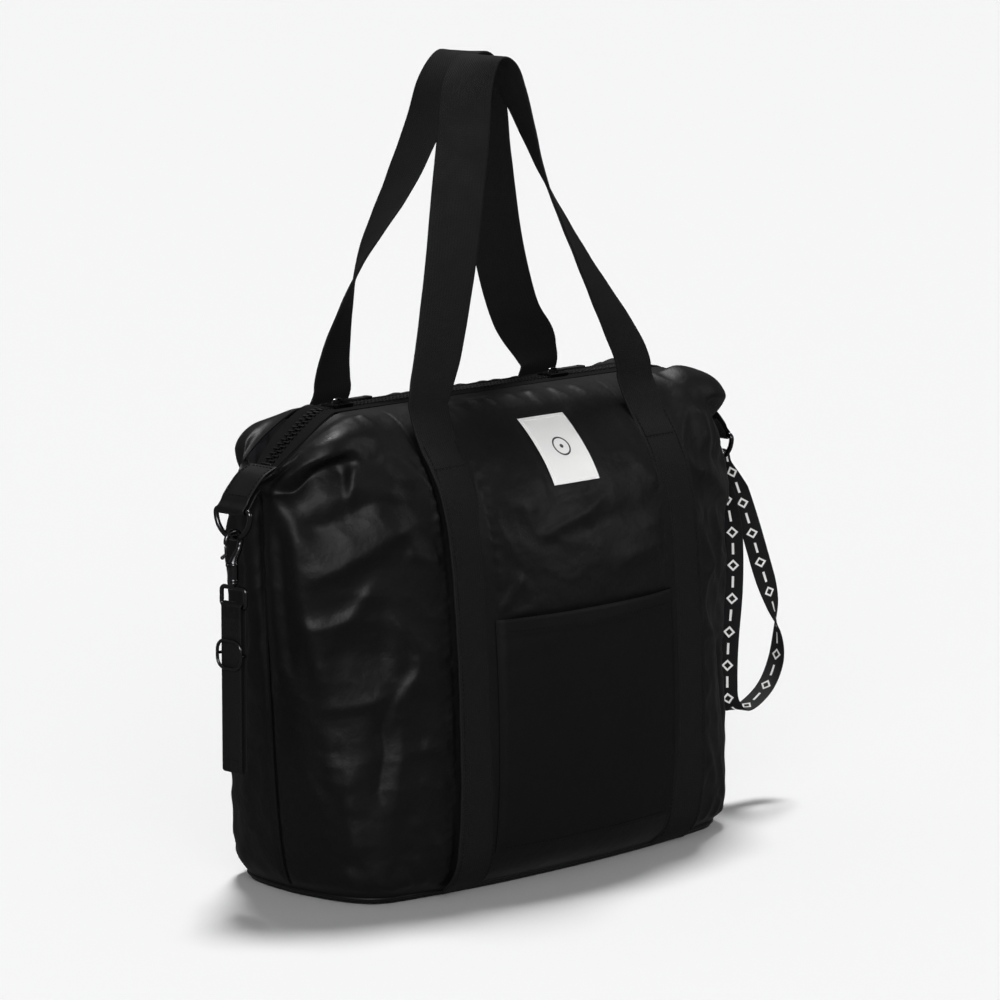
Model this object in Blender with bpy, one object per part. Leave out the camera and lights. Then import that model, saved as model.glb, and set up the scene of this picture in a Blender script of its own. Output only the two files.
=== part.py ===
"""Tote-shaped nappy changing bag: satin nylon body, zip with two sliders, webbing handles,
end tabs with D-rings, clip-on stroller straps and a wrist lanyard.

Metres, +Z up. X runs along the bag, the front faces -Y, and the origin is the middle of the
base on the surface that the bag stands on.
"""

import math

import bmesh
import bpy
from mathutils import Vector

# Body. Each level of the outer shell, from the base to the zip, is one closed contour:
# depth and height at mid length, corner (x, depth, height), side seam (x, height).
LEVELS = (
    (0.086, 0.0040, 0.194, 0.066, 0.0040, 0.196, 0.0040),
    (0.106, 0.0240, 0.203, 0.067, 0.0240, 0.206, 0.0240),
    (0.114, 0.0750, 0.211, 0.057, 0.0750, 0.213, 0.0750),
    (0.115, 0.1350, 0.218, 0.045, 0.1350, 0.217, 0.1350),
    (0.112, 0.1900, 0.226, 0.035, 0.1900, 0.220, 0.1900),
    (0.107, 0.2400, 0.233, 0.028, 0.2400, 0.221, 0.2400),
    (0.098, 0.2760, 0.235, 0.029, 0.2740, 0.222, 0.2700),
    (0.086, 0.3000, 0.232, 0.034, 0.2970, 0.224, 0.2850),
    (0.068, 0.3210, 0.224, 0.040, 0.3180, 0.227, 0.2930),
    (0.050, 0.3360, 0.218, 0.043, 0.3320, 0.230, 0.2980),
    (0.034, 0.3445, 0.222, 0.034, 0.3270, 0.233, 0.3005),
    (0.0168, 0.3490, 0.2385, 0.0230, 0.3060, 0.2370, 0.3030),
)
FACE_POWER = 2.3  # how the depth falls away from mid length to the corner
FACE_SHARE = 0.86  # share of the corner's x that lies on the broad face
SLOPE_START = 0.168  # |x| where the straight top ends and the ends start to drop
SLOPE_POWER = 1.3
FACE_COLUMNS = 14
END_COLUMNS = 5
SHELL_THICKNESS = 0.0016
LINING_OFFSET = 0.0021
LINING_THICKNESS = 0.0008
LINING_TOP_LEVEL = 9
SEAM_GAP = 0.00015  # half of the gap that is left between two sewn pieces
TOUCH_GAP = 0.0003

BASE_THICKNESS = 0.0030
BOARD_THICKNESS = 0.0030
BOARD_HALF_LENGTH = 0.176
BOARD_HALF_DEPTH = 0.056
BOARD_CORNER = 0.015
BOARD_Z = 0.0051

# Webbing sewn on the body, and the two handles that it carries.
WEBBING_WIDTH = 0.038
WEBBING_THICKNESS = 0.0020
WEBBING_X = 0.110
WEBBING_OFFSET = 0.0007
WEBBING_TOP_LEVEL = 9
HANDLE_THICKNESS = 0.0024
HANDLE_PIVOT = Vector((0.0, -0.0512, 0.3385))
HANDLE_LEAN_TOP = 0.0203  # depth of the handle's top, which leans in over the zip
HANDLE_TOP = 0.5950
HANDLE_STEPS = 46
# Each point is (x, z, degrees): the webbing's width turns from +X by that angle on its way round.
FRONT_HANDLE_ROUTE = (
    (-0.1080, 0.3415, 0), (-0.1075, 0.3530, 2), (-0.1025, 0.3670, 6), (-0.0910, 0.3940, 15),
    (-0.0750, 0.4430, 25), (-0.0595, 0.5000, 40), (-0.0490, 0.5400, 50), (-0.0405, 0.5740, 62),
    (-0.0245, 0.5930, 80), (-0.0045, 0.5860, 95), (0.0070, 0.5620, 106), (0.0285, 0.5050, 130),
    (0.0590, 0.4460, 147), (0.0905, 0.3940, 166), (0.1050, 0.3670, 175), (0.1080, 0.3530, 179),
    (0.1080, 0.3415, 180),
)
BACK_HANDLE_ROUTE = (
    (-0.1080, 0.3415, 0), (-0.1080, 0.3530, 2), (-0.1085, 0.3680, 8), (-0.1040, 0.3950, 22),
    (-0.0880, 0.4480, 52), (-0.0560, 0.5000, 80), (-0.0370, 0.5400, 90), (-0.0240, 0.5760, 96),
    (-0.0050, 0.5930, 100), (0.0130, 0.5850, 104), (0.0240, 0.5560, 109), (0.0330, 0.5140, 117),
    (0.0520, 0.4480, 135), (0.0770, 0.3940, 155), (0.1010, 0.3670, 171), (0.1080, 0.3530, 178),
    (0.1080, 0.3415, 180),
)

# Front pocket and the blank woven label.
POCKET_HALF_WIDTH = 0.0895
POCKET_TOP = 0.2000
POCKET_BOTTOM = 0.0300
POCKET_THICKNESS = 0.0010
POCKET_STAND_OFF = 0.0080
INNER_POCKET_HALF_WIDTH = 0.120
INNER_POCKET_TOP = 0.1900
INNER_POCKET_BOTTOM = 0.0500
LABEL_HALF_WIDTH = 0.0235
LABEL_THICKNESS = 0.0006
LABEL_BOTTOM_DEPTH = 0.0945
LABEL_TOP_DEPTH = 0.0575

# Zip: two rows that stand parted, each on its tape, between the end stops.
ZIP_Z = 0.3490
ZIP_END_Z = 0.3085
ZIP_END_X = 0.2262
ROW_INNER = 0.0027
ROW_WIDTH = 0.0028
ROW_HALF_HEIGHT = 0.0014
ROW_END_X = 0.2165
TAPE_INNER = ROW_INNER + ROW_WIDTH + TOUCH_GAP
TAPE_OUTER = 0.0165
TAPE_THICKNESS = 0.0008
TAPE_TAPER_START = 0.190  # |x| where the tape's outer edge starts to turn in
TAPE_TAPER = 0.0084
ZIP_STEPS = 44
STOP_X = 0.2190
SLIDER_LEFT_X = -0.1500
SLIDER_RIGHT_X = 0.0720
SLIDER_LENGTH = 0.0180
SLIDER_HALF_WIDTH = 0.0072
SLIDER_CHANNEL = 0.0059
SLIDER_PLATE_Z = 0.0018
SLIDER_PLATE = 0.0014
SLIDER_POST = 0.0010
SLIDER_SLOT = 0.0007
BRIDGE_RADIUS = 0.0008
BRIDGE_HALF_SPAN = 0.0046
BRIDGE_HEIGHT = 0.0034
PULLER_PIVOT_Z = SLIDER_PLATE_Z + SLIDER_PLATE + 0.0013
PULLER_LENGTH = 0.0330
PULLER_THICKNESS = 0.0014

# End tabs, D-rings and the snap hooks of the stroller straps. "Out" is the distance from x = 0.
RING_OUT = 0.2520
RING_Z = 0.2870
RING_WIRE = 0.0019
RING_HALF_WIDTH = 0.0174
RING_CORNER = 0.0030
RING_DEPTH = 0.0200
TAB_HALF_WIDTH = 0.0138
TAB_THICKNESS = 0.0014
TAB_CLEARANCE = 0.00025
HOOK_WIRE = 0.0022
HOOK_LOOP_RADIUS = 0.0070
HOOK_TOP = RING_WIRE + HOOK_WIRE + 0.00045  # the jaw's centreline above the ring's wire
BARREL_RADIUS = 0.0036
BARREL_TOP = -0.0180
BARREL_BOTTOM = -0.0310
TRIGGER_PIVOT = (0.0062, -0.0161)
TRIGGER_TIP = (0.0072, -0.0048)
TRIGGER_RADIUS = 0.0012
TRIGGER_LUG = ((0.0, -0.0196), (0.0060, -0.0185))
TRIGGER_LUG_RADIUS = 0.0016
EYE_TOP = -0.0355
EYE_BOTTOM = -0.0490
EYE_HALF_WIDTH = 0.0124
EYE_WIRE = 0.0016
STRAP_WIDTH = 0.0200
STRAP_THICKNESS = 0.0015
STRAP_HALF_GAP = 0.0026
STRAP_BOTTOM = -0.1680
ADJUSTER_Z = -0.0830
ADJUSTER_HALF_WIDTH = 0.0122
ADJUSTER_HALF_HEIGHT = 0.0100
ADJUSTER_WIRE = 0.0012
HOOK_RIGHT_Y = 0.0060  # the right hook hangs beside the lanyard, where the ring's wire is higher
HOOK_RIGHT_LIFT = 0.0017

# Lanyard: one length of flat tape through the right D-ring, with its ends sewn together.
# Each point of its route has the direction of the tape's width, in degrees from +X.
LANYARD_WIDTH = 0.0160
LANYARD_NARROW = 0.0055
LANYARD_THICKNESS = 0.0009
LANYARD_STEPS = 76
LANYARD_HANG = Vector((0.2520, -0.0080, 0.2752))  # the top of its bend over the ring's wire
LANYARD_PIVOT = Vector((0.2520, -0.0080, 0.2690))
LANYARD_GATHER = (0.012, 0.034)  # distances from the bend between which it spreads to full width
LANYARD_ROUTE = (
    (0.2480, -0.0125, 0.2480, -75), (0.2466, -0.0092, 0.2640, -88),
    (0.2476, -0.0082, 0.2722, -90), (0.2520, -0.0080, 0.2752, -90),
    (0.2564, -0.0082, 0.2722, -90), (0.2581, -0.0092, 0.2640, -82),
    (0.2625, -0.0135, 0.2480, -62), (0.2735, -0.0175, 0.2150, -48),
    (0.2870, -0.0180, 0.1810, -40), (0.2985, -0.0195, 0.1500, 5),
    (0.3040, -0.0200, 0.1280, 60), (0.3030, -0.0200, 0.1060, 90),
    (0.2930, -0.0195, 0.0870, 100), (0.2760, -0.0190, 0.0750, 112),
    (0.2600, -0.0190, 0.0715, 125), (0.2500, -0.0185, 0.0790, 132),
    (0.2485, -0.0180, 0.0960, 135), (0.2500, -0.0175, 0.1250, 135),
    (0.2545, -0.0175, 0.1680, 134), (0.2540, -0.0175, 0.2080, 126),
    (0.2505, -0.0160, 0.2320, 114), (0.2486, -0.0134, 0.2446, 108),
)

CURVE_SAMPLES = 16  # samples between two points of a smooth route, before they're evened out
SIDES = (("left", -1), ("right", 1))
FACES = (("front", -1), ("back", 1))


# ---------------------------------------------------------------- general helpers


def clear_scene():
    for obj in list(bpy.data.objects):
        bpy.data.objects.remove(obj, do_unlink=True)


def make_material(name, colour, roughness, metallic=0.0):
    material = bpy.data.materials.new(name)
    material.use_nodes = True
    shader = material.node_tree.nodes["Principled BSDF"]
    shader.inputs["Base Color"].default_value = (*colour, 1.0)
    shader.inputs["Roughness"].default_value = roughness
    shader.inputs["Metallic"].default_value = metallic
    material.diffuse_color = (*colour, 1.0)
    return material


def add_object(name, vertices, faces, material, pivot=Vector((0, 0, 0)), smooth_angle=35.0):
    """A mesh object from world coordinates, with its origin on the pivot."""
    mesh = bpy.data.meshes.new(name)
    mesh.from_pydata([tuple(Vector(v) - pivot) for v in vertices], [], faces)
    shape = bmesh.new()
    shape.from_mesh(mesh)
    bmesh.ops.recalc_face_normals(shape, faces=shape.faces)
    shape.to_mesh(mesh)
    shape.free()
    mesh.shade_smooth()
    mesh.set_sharp_from_angle(angle=math.radians(smooth_angle))
    mesh.materials.append(material)
    obj = bpy.data.objects.new(name, mesh)
    obj.location = pivot
    bpy.context.scene.collection.objects.link(obj)
    return obj


def catmull_rom(points, steps):
    """Evenly spaced samples of the smooth curve through points, which are equal-length tuples."""
    last = len(points) - 1
    dense = []
    for span in range(last):
        corners = [points[min(max(span + k, 0), last)] for k in (-1, 0, 1, 2)]
        for step in range(CURVE_SAMPLES):
            dense.append(blend_span(corners, step / CURVE_SAMPLES))
    dense.append(tuple(points[-1]))
    return resample(dense, steps)


def blend_span(corners, t):
    weights = (
        0.5 * (-t + 2 * t * t - t ** 3),
        0.5 * (2 - 5 * t * t + 3 * t ** 3),
        0.5 * (t + 4 * t * t - 3 * t ** 3),
        0.5 * (-t * t + t ** 3),
    )
    return tuple(sum(w * c[k] for w, c in zip(weights, corners)) for k in range(len(corners[0])))


def resample(dense, steps):
    """Points at equal distances along a dense polyline; only x, y and z count as distance."""
    lengths = [0.0]
    for a, b in zip(dense, dense[1:]):
        lengths.append(lengths[-1] + math.dist(a[:3], b[:3]))
    samples = []
    span = 0
    for step in range(steps + 1):
        target = lengths[-1] * step / steps
        while span < len(dense) - 2 and lengths[span + 1] < target:
            span += 1
        length = lengths[span + 1] - lengths[span]
        share = (target - lengths[span]) / length if length else 0.0
        share = min(max(share, 0.0), 1.0)
        a, b = dense[span], dense[span + 1]
        samples.append(tuple(p + (q - p) * share for p, q in zip(a, b)))
    return samples


def grid_solid(name, outer, inner, material, pivot=Vector((0, 0, 0))):
    """A closed sheet between two grids of points with the same rows and columns."""
    rows, columns = len(outer), len(outer[0])
    vertices = [p for row in outer for p in row] + [p for row in inner for p in row]
    back = rows * columns
    faces = []
    for r in range(rows - 1):
        for c in range(columns - 1):
            a = r * columns + c
            for face in ((a, a + 1, a + columns + 1), (a, a + columns + 1, a + columns)):
                faces.append(face)
                faces.append(tuple(back + k for k in reversed(face)))
    rim = [c for c in range(columns)]
    rim += [r * columns + columns - 1 for r in range(1, rows)]
    rim += [(rows - 1) * columns + c for c in range(columns - 2, -1, -1)]
    rim += [r * columns for r in range(rows - 2, 0, -1)]
    for a, b in zip(rim, rim[1:] + rim[:1]):
        faces.append((b, a, back + a, back + b))
    return add_object(name, vertices, faces, material, pivot)


def ribbon(name, path, widths, thickness, material, pivot=Vector((0, 0, 0)), closed=False):
    """A flat strip. widths holds one vector per point: its direction and half its length."""
    rings = []
    count = len(path)
    for k, point in enumerate(path):
        before = path[(k - 1) % count] if closed else path[max(k - 1, 0)]
        after = path[(k + 1) % count] if closed else path[min(k + 1, count - 1)]
        tangent = (after - before).normalized()
        side = widths[k] - tangent * widths[k].dot(tangent)
        side = side.normalized() * widths[k].length
        lift = tangent.cross(side).normalized() * thickness / 2
        rings.append([point + side + lift, point - side + lift, point - side - lift, point + side - lift])
    return add_object(name, *ring_faces(rings, closed), material, pivot)


def ring_faces(rings, closed):
    """Vertices and faces that join a row of equal rings into a tube, capped unless it closes."""
    size = len(rings[0])
    vertices = [p for ring in rings for p in ring]
    faces = []
    for k in range(len(rings) if closed else len(rings) - 1):
        a, b = k * size, (k + 1) % len(rings) * size
        for c in range(size):
            d = (c + 1) % size
            faces.append((a + c, a + d, b + d, b + c))
    if not closed:
        faces.append(tuple(range(size)))
        faces.append(tuple(reversed(range(len(vertices) - size, len(vertices)))))
    return vertices, faces


def tube(name, path, radii, material, sides=10, pivot=Vector((0, 0, 0)), closed=False):
    """A round tube along a path that lies in one plane, with a radius for each point."""
    count = len(path)
    normal = Vector((0, 0, 0))
    for a, b, c in zip(path, path[1:], path[2:]):
        normal += (b - a).cross(c - b)
    if normal.length < 1e-12:
        normal = (path[1] - path[0]).orthogonal()
    normal.normalize()
    rings = []
    for k, point in enumerate(path):
        before = path[(k - 1) % count] if closed else path[max(k - 1, 0)]
        after = path[(k + 1) % count] if closed else path[min(k + 1, count - 1)]
        across = normal.cross((after - before).normalized())
        ring = []
        for side in range(sides):
            angle = 2 * math.pi * side / sides
            ring.append(point + (normal * math.cos(angle) + across * math.sin(angle)) * radii[k])
        rings.append(ring)
    return add_object(name, *ring_faces(rings, closed), material, pivot, smooth_angle=50.0)


def prism(name, outline, half_depth, place, material, pivot=Vector((0, 0, 0))):
    """An extruded outline: place(u, v, w) gives the world point, with w from -1 to 1 depths."""
    rings = [[place(u, v, side * half_depth) for u, v in outline] for side in (-1, 1)]
    return add_object(name, *ring_faces(rings, False), material, pivot, smooth_angle=40.0)


def boolean(obj, tool, operation):
    tool.hide_render = True
    tool.display_type = "WIRE"
    modifier = obj.modifiers.new(operation.lower() + "_" + tool.name, "BOOLEAN")
    modifier.operation = operation
    modifier.object = tool


def arc(centre, radius, start, end, steps):
    """Points of an arc in a plane, with angles in degrees."""
    points = []
    for step in range(steps + 1):
        angle = math.radians(start + (end - start) * step / steps)
        points.append((centre[0] + radius * math.cos(angle), centre[1] + radius * math.sin(angle)))
    return points


def rounded_rectangle(half_x, half_y, corner, steps=5):
    points = []
    for quarter, (sx, sy) in enumerate(((1, 1), (-1, 1), (-1, -1), (1, -1))):
        centre = (sx * (half_x - corner), sy * (half_y - corner))
        points += arc(centre, corner, 90 * quarter, 90 * quarter + 90, steps)
    return points


# ---------------------------------------------------------------- the body's surface


def end_drop(x, corner_x):
    """0 on the straight top, 1 at the corner of the level."""
    reach = (abs(x) - SLOPE_START) / (corner_x - SLOPE_START)
    return max(reach, 0.0) ** SLOPE_POWER


def face_point(level, x, face):
    """The outer surface on the broad front (face -1) or back (face 1), at a given x."""
    mid_depth, mid_z, corner_x, corner_depth, corner_z = level[:5]
    share = abs(x) / corner_x
    depth = mid_depth + (corner_depth - mid_depth) * share ** FACE_POWER
    return Vector((x, face * depth, mid_z + (corner_z - mid_z) * end_drop(x, corner_x)))


def end_point(level, t, end, face):
    """The surface from the edge of the broad face (t = 0) round the corner to the seam (t = 1)."""
    corner = Vector((end * level[2], face * level[3], level[4]))
    start = face_point(level, end * level[2] * FACE_SHARE, face)
    seam = Vector((end * level[5], face * SEAM_GAP, level[6]))
    inner_z = level[6] + (level[4] - level[6]) * 0.25
    inner = Vector((end * level[2], face * level[3] * 0.35, inner_z))
    s = 1 - t
    return start * s ** 3 + corner * 3 * s * s * t + inner * 3 * s * t * t + seam * t ** 3


def contour(level, face):
    """One level of one panel, from the left seam to the right seam."""
    left = [end_point(level, 1 - k / END_COLUMNS, -1, face) for k in range(END_COLUMNS)]
    reach = level[2] * FACE_SHARE
    broad = [face_point(level, reach * (2 * k / FACE_COLUMNS - 1), face) for k in range(FACE_COLUMNS + 1)]
    right = [end_point(level, (k + 1) / END_COLUMNS, 1, face) for k in range(END_COLUMNS)]
    return left + broad + right


def grid_normals(grid, face):
    """Outward unit normals of a panel's grid; the seams' normals stay in the XZ plane."""
    rows, columns = len(grid), len(grid[0])
    normals = []
    for r in range(rows):
        line = []
        for c in range(columns):
            along = grid[r][min(c + 1, columns - 1)] - grid[r][max(c - 1, 0)]
            up = grid[min(r + 1, rows - 1)][c] - grid[max(r - 1, 0)][c]
            normal = along.cross(up) * -face
            if c in (0, columns - 1):
                normal = Vector((normal.x, 0.0, 0.0))
            if r == 0:
                normal.z = 0.0
            line.append(normal.normalized())
        normals.append(line)
    return normals


def offset_grid(grid, normals, distance):
    return [[p - n * distance for p, n in zip(row, line)] for row, line in zip(grid, normals)]


def depth_at(height, x, face):
    """Depth of the broad face at a height, between the levels' own heights."""
    points = [face_point(level, x, face) for level in LEVELS]
    for low, high in zip(points, points[1:]):
        if low.z <= height <= high.z:
            return low.lerp(high, (height - low.z) / (high.z - low.z)).y
    return points[-1].y


def zip_height(x):
    reach = max(abs(x) - SLOPE_START, 0.0) / (ZIP_END_X - SLOPE_START)
    return ZIP_Z + (ZIP_END_Z - ZIP_Z) * reach ** SLOPE_POWER


# ---------------------------------------------------------------- soft body


def build_panels(fabric, lining_cloth):
    for name, face in FACES:
        outer = [contour(level, face) for level in LEVELS]
        normals = grid_normals(outer, face)
        inner = offset_grid(outer, normals, SHELL_THICKNESS)
        grid_solid(name + "_panel", outer, inner, fabric)
        lined = slice(0, LINING_TOP_LEVEL + 1)
        start = offset_grid(outer, normals, LINING_OFFSET)[lined]
        end = offset_grid(outer, normals, LINING_OFFSET + LINING_THICKNESS)[lined]
        grid_solid(name + "_lining", start, end, lining_cloth)


def base_outline(inset):
    front = contour(LEVELS[0], -1)
    back = list(reversed(contour(LEVELS[0], 1)))
    outline = []
    for point in front[:-1] + back[:-1]:
        flat = Vector((point.x, point.y, 0.0))
        outline.append(flat - flat.normalized() * inset)
    return outline


def build_base(fabric, board):
    outline = [(p.x, p.y) for p in base_outline(TOUCH_GAP)]
    middle = BASE_THICKNESS / 2 + TOUCH_GAP / 2

    def on_floor(u, v, w):
        return Vector((u, v, middle + w))

    prism("base_panel", outline, middle, on_floor, fabric)

    def in_bag(u, v, w):
        return Vector((u, v, BOARD_Z + w))

    plate = rounded_rectangle(BOARD_HALF_LENGTH, BOARD_HALF_DEPTH, BOARD_CORNER)
    prism("base_board", plate, BOARD_THICKNESS / 2, in_bag, board)


def build_webbing(webbing):
    """Four straps sewn to the panels, from the base seam to the foot of each handle."""
    columns = 2
    for side_name, side in SIDES:
        for face_name, face in FACES:
            rows = []
            for level in LEVELS[: WEBBING_TOP_LEVEL + 1]:
                row = []
                for c in range(columns + 1):
                    x = side * WEBBING_X + WEBBING_WIDTH * (c / columns - 0.5)
                    row.append(face_point(level, x, face))
                rows.append(row)
            normals = grid_normals(rows, face)
            fix_border_normals(rows, normals, face)
            near = offset_grid(rows, normals, -WEBBING_OFFSET)
            far = offset_grid(rows, normals, -WEBBING_OFFSET - WEBBING_THICKNESS)
            grid_solid(f"{face_name}_strap_{side_name}", near, far, webbing)


def fix_border_normals(grid, normals, face):
    """Plain surface normals on a patch's side columns, which are no seams."""
    for r, row in enumerate(grid):
        for c in (0, len(row) - 1):
            normals[r][c] = normals[r][1].copy()
    for c in range(len(grid[0])):
        normals[-1][c] = (normals[-2][c] + Vector((0, 0, 0.3))).normalized()


def handle_frames(route, face):
    """Centreline and half-width vectors of one handle. The webbing makes half a turn on its way."""
    low, high = HANDLE_PIVOT.z, HANDLE_TOP
    path = []
    widths = []
    samples = catmull_rom([(x, 0.0, z, turn) for x, z, turn in route], HANDLE_STEPS)
    for x, _, z, degrees in samples:
        lean = HANDLE_PIVOT.y + (-HANDLE_LEAN_TOP - HANDLE_PIVOT.y) * (z - low) / (high - low)
        path.append(Vector((x, -face * lean, z)))
        turn = math.radians(degrees)
        widths.append(Vector((math.cos(turn), face * math.sin(turn), 0)) * WEBBING_WIDTH / 2)
    return path, widths


def build_handles(webbing):
    for (name, face), route in zip(FACES, (FRONT_HANDLE_ROUTE, BACK_HANDLE_ROUTE)):
        path, widths = handle_frames(route, face)
        pivot = Vector((0, -face * HANDLE_PIVOT.y, HANDLE_PIVOT.z))
        ribbon(name + "_handle", path, widths, HANDLE_THICKNESS, webbing, pivot)


def patch(name, half_width, heights, face, offset, thickness, material, bulge=0.0, columns=8):
    """A sheet on a broad face, offset outward (or inward when negative), with a bulging mouth."""
    near = []
    far = []
    direction = face if offset > 0 else -face
    for row, height in enumerate(heights):
        inner_row = []
        outer_row = []
        opening = math.sin(math.pi / 2 * row / (len(heights) - 1))
        for c in range(columns + 1):
            x = half_width * (2 * c / columns - 1)
            swell = bulge * opening * math.cos(math.pi / 2 * x / half_width) ** 0.7 if bulge else 0.0
            y = depth_at(height, x, face) + face * offset + direction * swell
            inner_row.append(Vector((x, y, height)))
            outer_row.append(Vector((x, y + direction * thickness, height)))
        near.append(inner_row)
        far.append(outer_row)
    grid_solid(name, near, far, material)


def spread(start, end, count):
    return [start + (end - start) * k / (count - 1) for k in range(count)]


def build_pockets(fabric, lining_cloth):
    heights = [POCKET_BOTTOM] + [level[1] for level in LEVELS[2:4]] + [0.165, POCKET_TOP]
    patch("front_pocket", POCKET_HALF_WIDTH, heights, -1, 0.0012, POCKET_THICKNESS, fabric,
          POCKET_STAND_OFF, 10)
    heights = [INNER_POCKET_BOTTOM] + [level[1] for level in LEVELS[2:4]] + [INNER_POCKET_TOP]
    inside = -(LINING_OFFSET + LINING_THICKNESS + 0.0016)
    patch("inner_pocket", INNER_POCKET_HALF_WIDTH, heights, 1, inside, POCKET_THICKNESS, lining_cloth)


def build_label(cloth):
    """A flat woven label on the sloping upper front."""
    bottom = Vector((0, -LABEL_BOTTOM_DEPTH, 0.2880))
    top = Vector((0, -LABEL_TOP_DEPTH, 0.3320))
    normal = Vector((1, 0, 0)).cross(top - bottom).normalized()
    lift = normal * 0.0030
    corners = []
    for point in (bottom, top):
        for side in (-1, 1):
            corners.append(point + Vector((side * LABEL_HALF_WIDTH, 0, 0)) + lift)
    near = [corners[:2], corners[2:]]
    far = [[p + normal * LABEL_THICKNESS for p in row] for row in near]
    grid_solid("label", near, far, cloth)


# ---------------------------------------------------------------- zip


def zip_strip(name, inner, outer, half_height, reach, face, material, taper=0.0):
    """A bar with a rectangular section that follows the zip's line."""
    rings = []
    for k in range(ZIP_STEPS + 1):
        x = reach * (2 * k / ZIP_STEPS - 1)
        z = zip_height(x)
        turned = max(abs(x) - TAPE_TAPER_START, 0.0) / (reach - TAPE_TAPER_START)
        edge = outer - taper * turned ** 1.5
        rings.append([
            Vector((x, face * inner, z - half_height)), Vector((x, face * edge, z - half_height)),
            Vector((x, face * edge, z + half_height)), Vector((x, face * inner, z + half_height)),
        ])
    return add_object(name, *ring_faces(rings, False), material)


def build_zip(tape, metal):
    for name, face in FACES:
        zip_strip(name + "_zip_tape", TAPE_INNER, TAPE_OUTER, TAPE_THICKNESS / 2, ZIP_END_X, face,
                  tape, TAPE_TAPER)
        zip_strip(name + "_zip_teeth", ROW_INNER, ROW_INNER + ROW_WIDTH, ROW_HALF_HEIGHT, ROW_END_X,
                  face, metal)
    for name, side in SIDES:
        z = zip_height(STOP_X)

        def across(u, v, w, side=side, z=z):
            return Vector((side * (STOP_X + w), u, z + v))

        outline = rounded_rectangle(ROW_INNER + ROW_WIDTH, 0.0017, 0.0008, 2)
        prism("zip_stop_" + name, outline, 0.0014, across, metal)


def slider_section():
    """The slider's section across the zip: two flanged plates joined by a post."""
    wide, channel, post = SLIDER_HALF_WIDTH, SLIDER_CHANNEL, SLIDER_POST
    low, high, slot = SLIDER_PLATE_Z, SLIDER_PLATE_Z + SLIDER_PLATE, SLIDER_SLOT
    quarter = [(post, 0.0), (post, low), (channel, low), (channel, slot), (wide, slot), (wide, high - 0.0005),
               (wide - 0.0005, high)]
    lower = [(y, -z) for y, z in reversed(quarter)]
    right = lower[:-1] + quarter
    left = [(-y, z) for y, z in reversed(right)]
    return right + left


def build_slider(name, x, metal):
    centre = Vector((x, 0, ZIP_Z))

    def along(u, v, w):
        return centre + Vector((w, u, v))

    body = prism("slider_" + name, slider_section(), SLIDER_LENGTH / 2, along, metal, centre)
    foot = SLIDER_PLATE_Z + 0.0004
    route = [(-BRIDGE_HALF_SPAN, foot), (-BRIDGE_HALF_SPAN, foot + 0.0022)]
    route += [(-0.0030, foot + BRIDGE_HEIGHT), (0.0, foot + BRIDGE_HEIGHT + 0.0006)]
    route += [(-u, v) for u, v in reversed(route[:-1])]
    path = [centre + Vector((u, 0, v)) for u, v, _ in catmull_rom([(u, v, 0.0) for u, v in route], 14)]
    bridge = tube("bridge_" + name, path, [BRIDGE_RADIUS] * len(path), metal, 8, centre)
    boolean(body, bridge, "UNION")
    build_puller(name, centre + Vector((0, 0, PULLER_PIVOT_Z)), metal)


def build_puller(name, pivot, metal):
    """A flat pull that turns under the slider's bridge, with a round eye at its far end."""
    outline = [(-0.0007, -0.0034), (0.0080, -0.0034), (0.0105, -0.0026), (PULLER_LENGTH - 0.008, -0.0030)]
    outline += arc((PULLER_LENGTH - 0.0045, 0.0), 0.0045, -60, 60, 8)
    outline += [(u, -v) for u, v in reversed(outline[:4])]

    def flat(u, v, w):
        return pivot + Vector((u, v, w))

    plate = prism("puller_" + name, outline, PULLER_THICKNESS / 2, flat, metal, pivot)
    window = [(0.0007, -0.0018), (0.0066, -0.0018), (0.0066, 0.0018), (0.0007, 0.0018)]
    eye = arc((PULLER_LENGTH - 0.0045, 0.0), 0.0022, 0, 330, 11)
    for tool_name, hole in (("window_", window), ("eye_hole_", eye)):
        tool = prism(tool_name + name, hole, PULLER_THICKNESS, flat, metal, pivot)
        boolean(plate, tool, "DIFFERENCE")


# ---------------------------------------------------------------- ends: tab, ring, hook, strap


def end_place(side, y_centre=0.0, height=RING_Z):
    """Places (out, across, up) about the D-ring's bar; out is away from the bag."""

    def place(out, across, up):
        return Vector((side * (RING_OUT + out), y_centre + across, height + up))

    return place


def build_tab(name, side, leather):
    """A strip folded round the ring's bar, one end over the zip's end and one under it."""
    place = end_place(side)
    wrap = RING_WIRE + TAB_CLEARANCE + TAB_THICKNESS / 2
    over = [(-0.0295, 0.0281), (-0.0250, 0.0264), (-0.0185, 0.0236), (-0.0120, 0.0184), (-0.0040, 0.0100),
            (-0.0010, 0.0052)]
    round_bar = arc((0.0, 0.0), wrap, 55, -200, 12)
    under = [(-0.0052, 0.0044), (-0.0098, 0.0105), (-0.0137, 0.0138)]
    route = over + round_bar + under
    samples = catmull_rom([(u, v, 0.0) for u, v in route], 44)
    path = [place(u, 0.0, v) for u, v, _ in samples]
    widths = [Vector((0, TAB_HALF_WIDTH, 0))] * len(path)
    ribbon("end_tab_" + name, path, widths, TAB_THICKNESS, leather)


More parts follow.
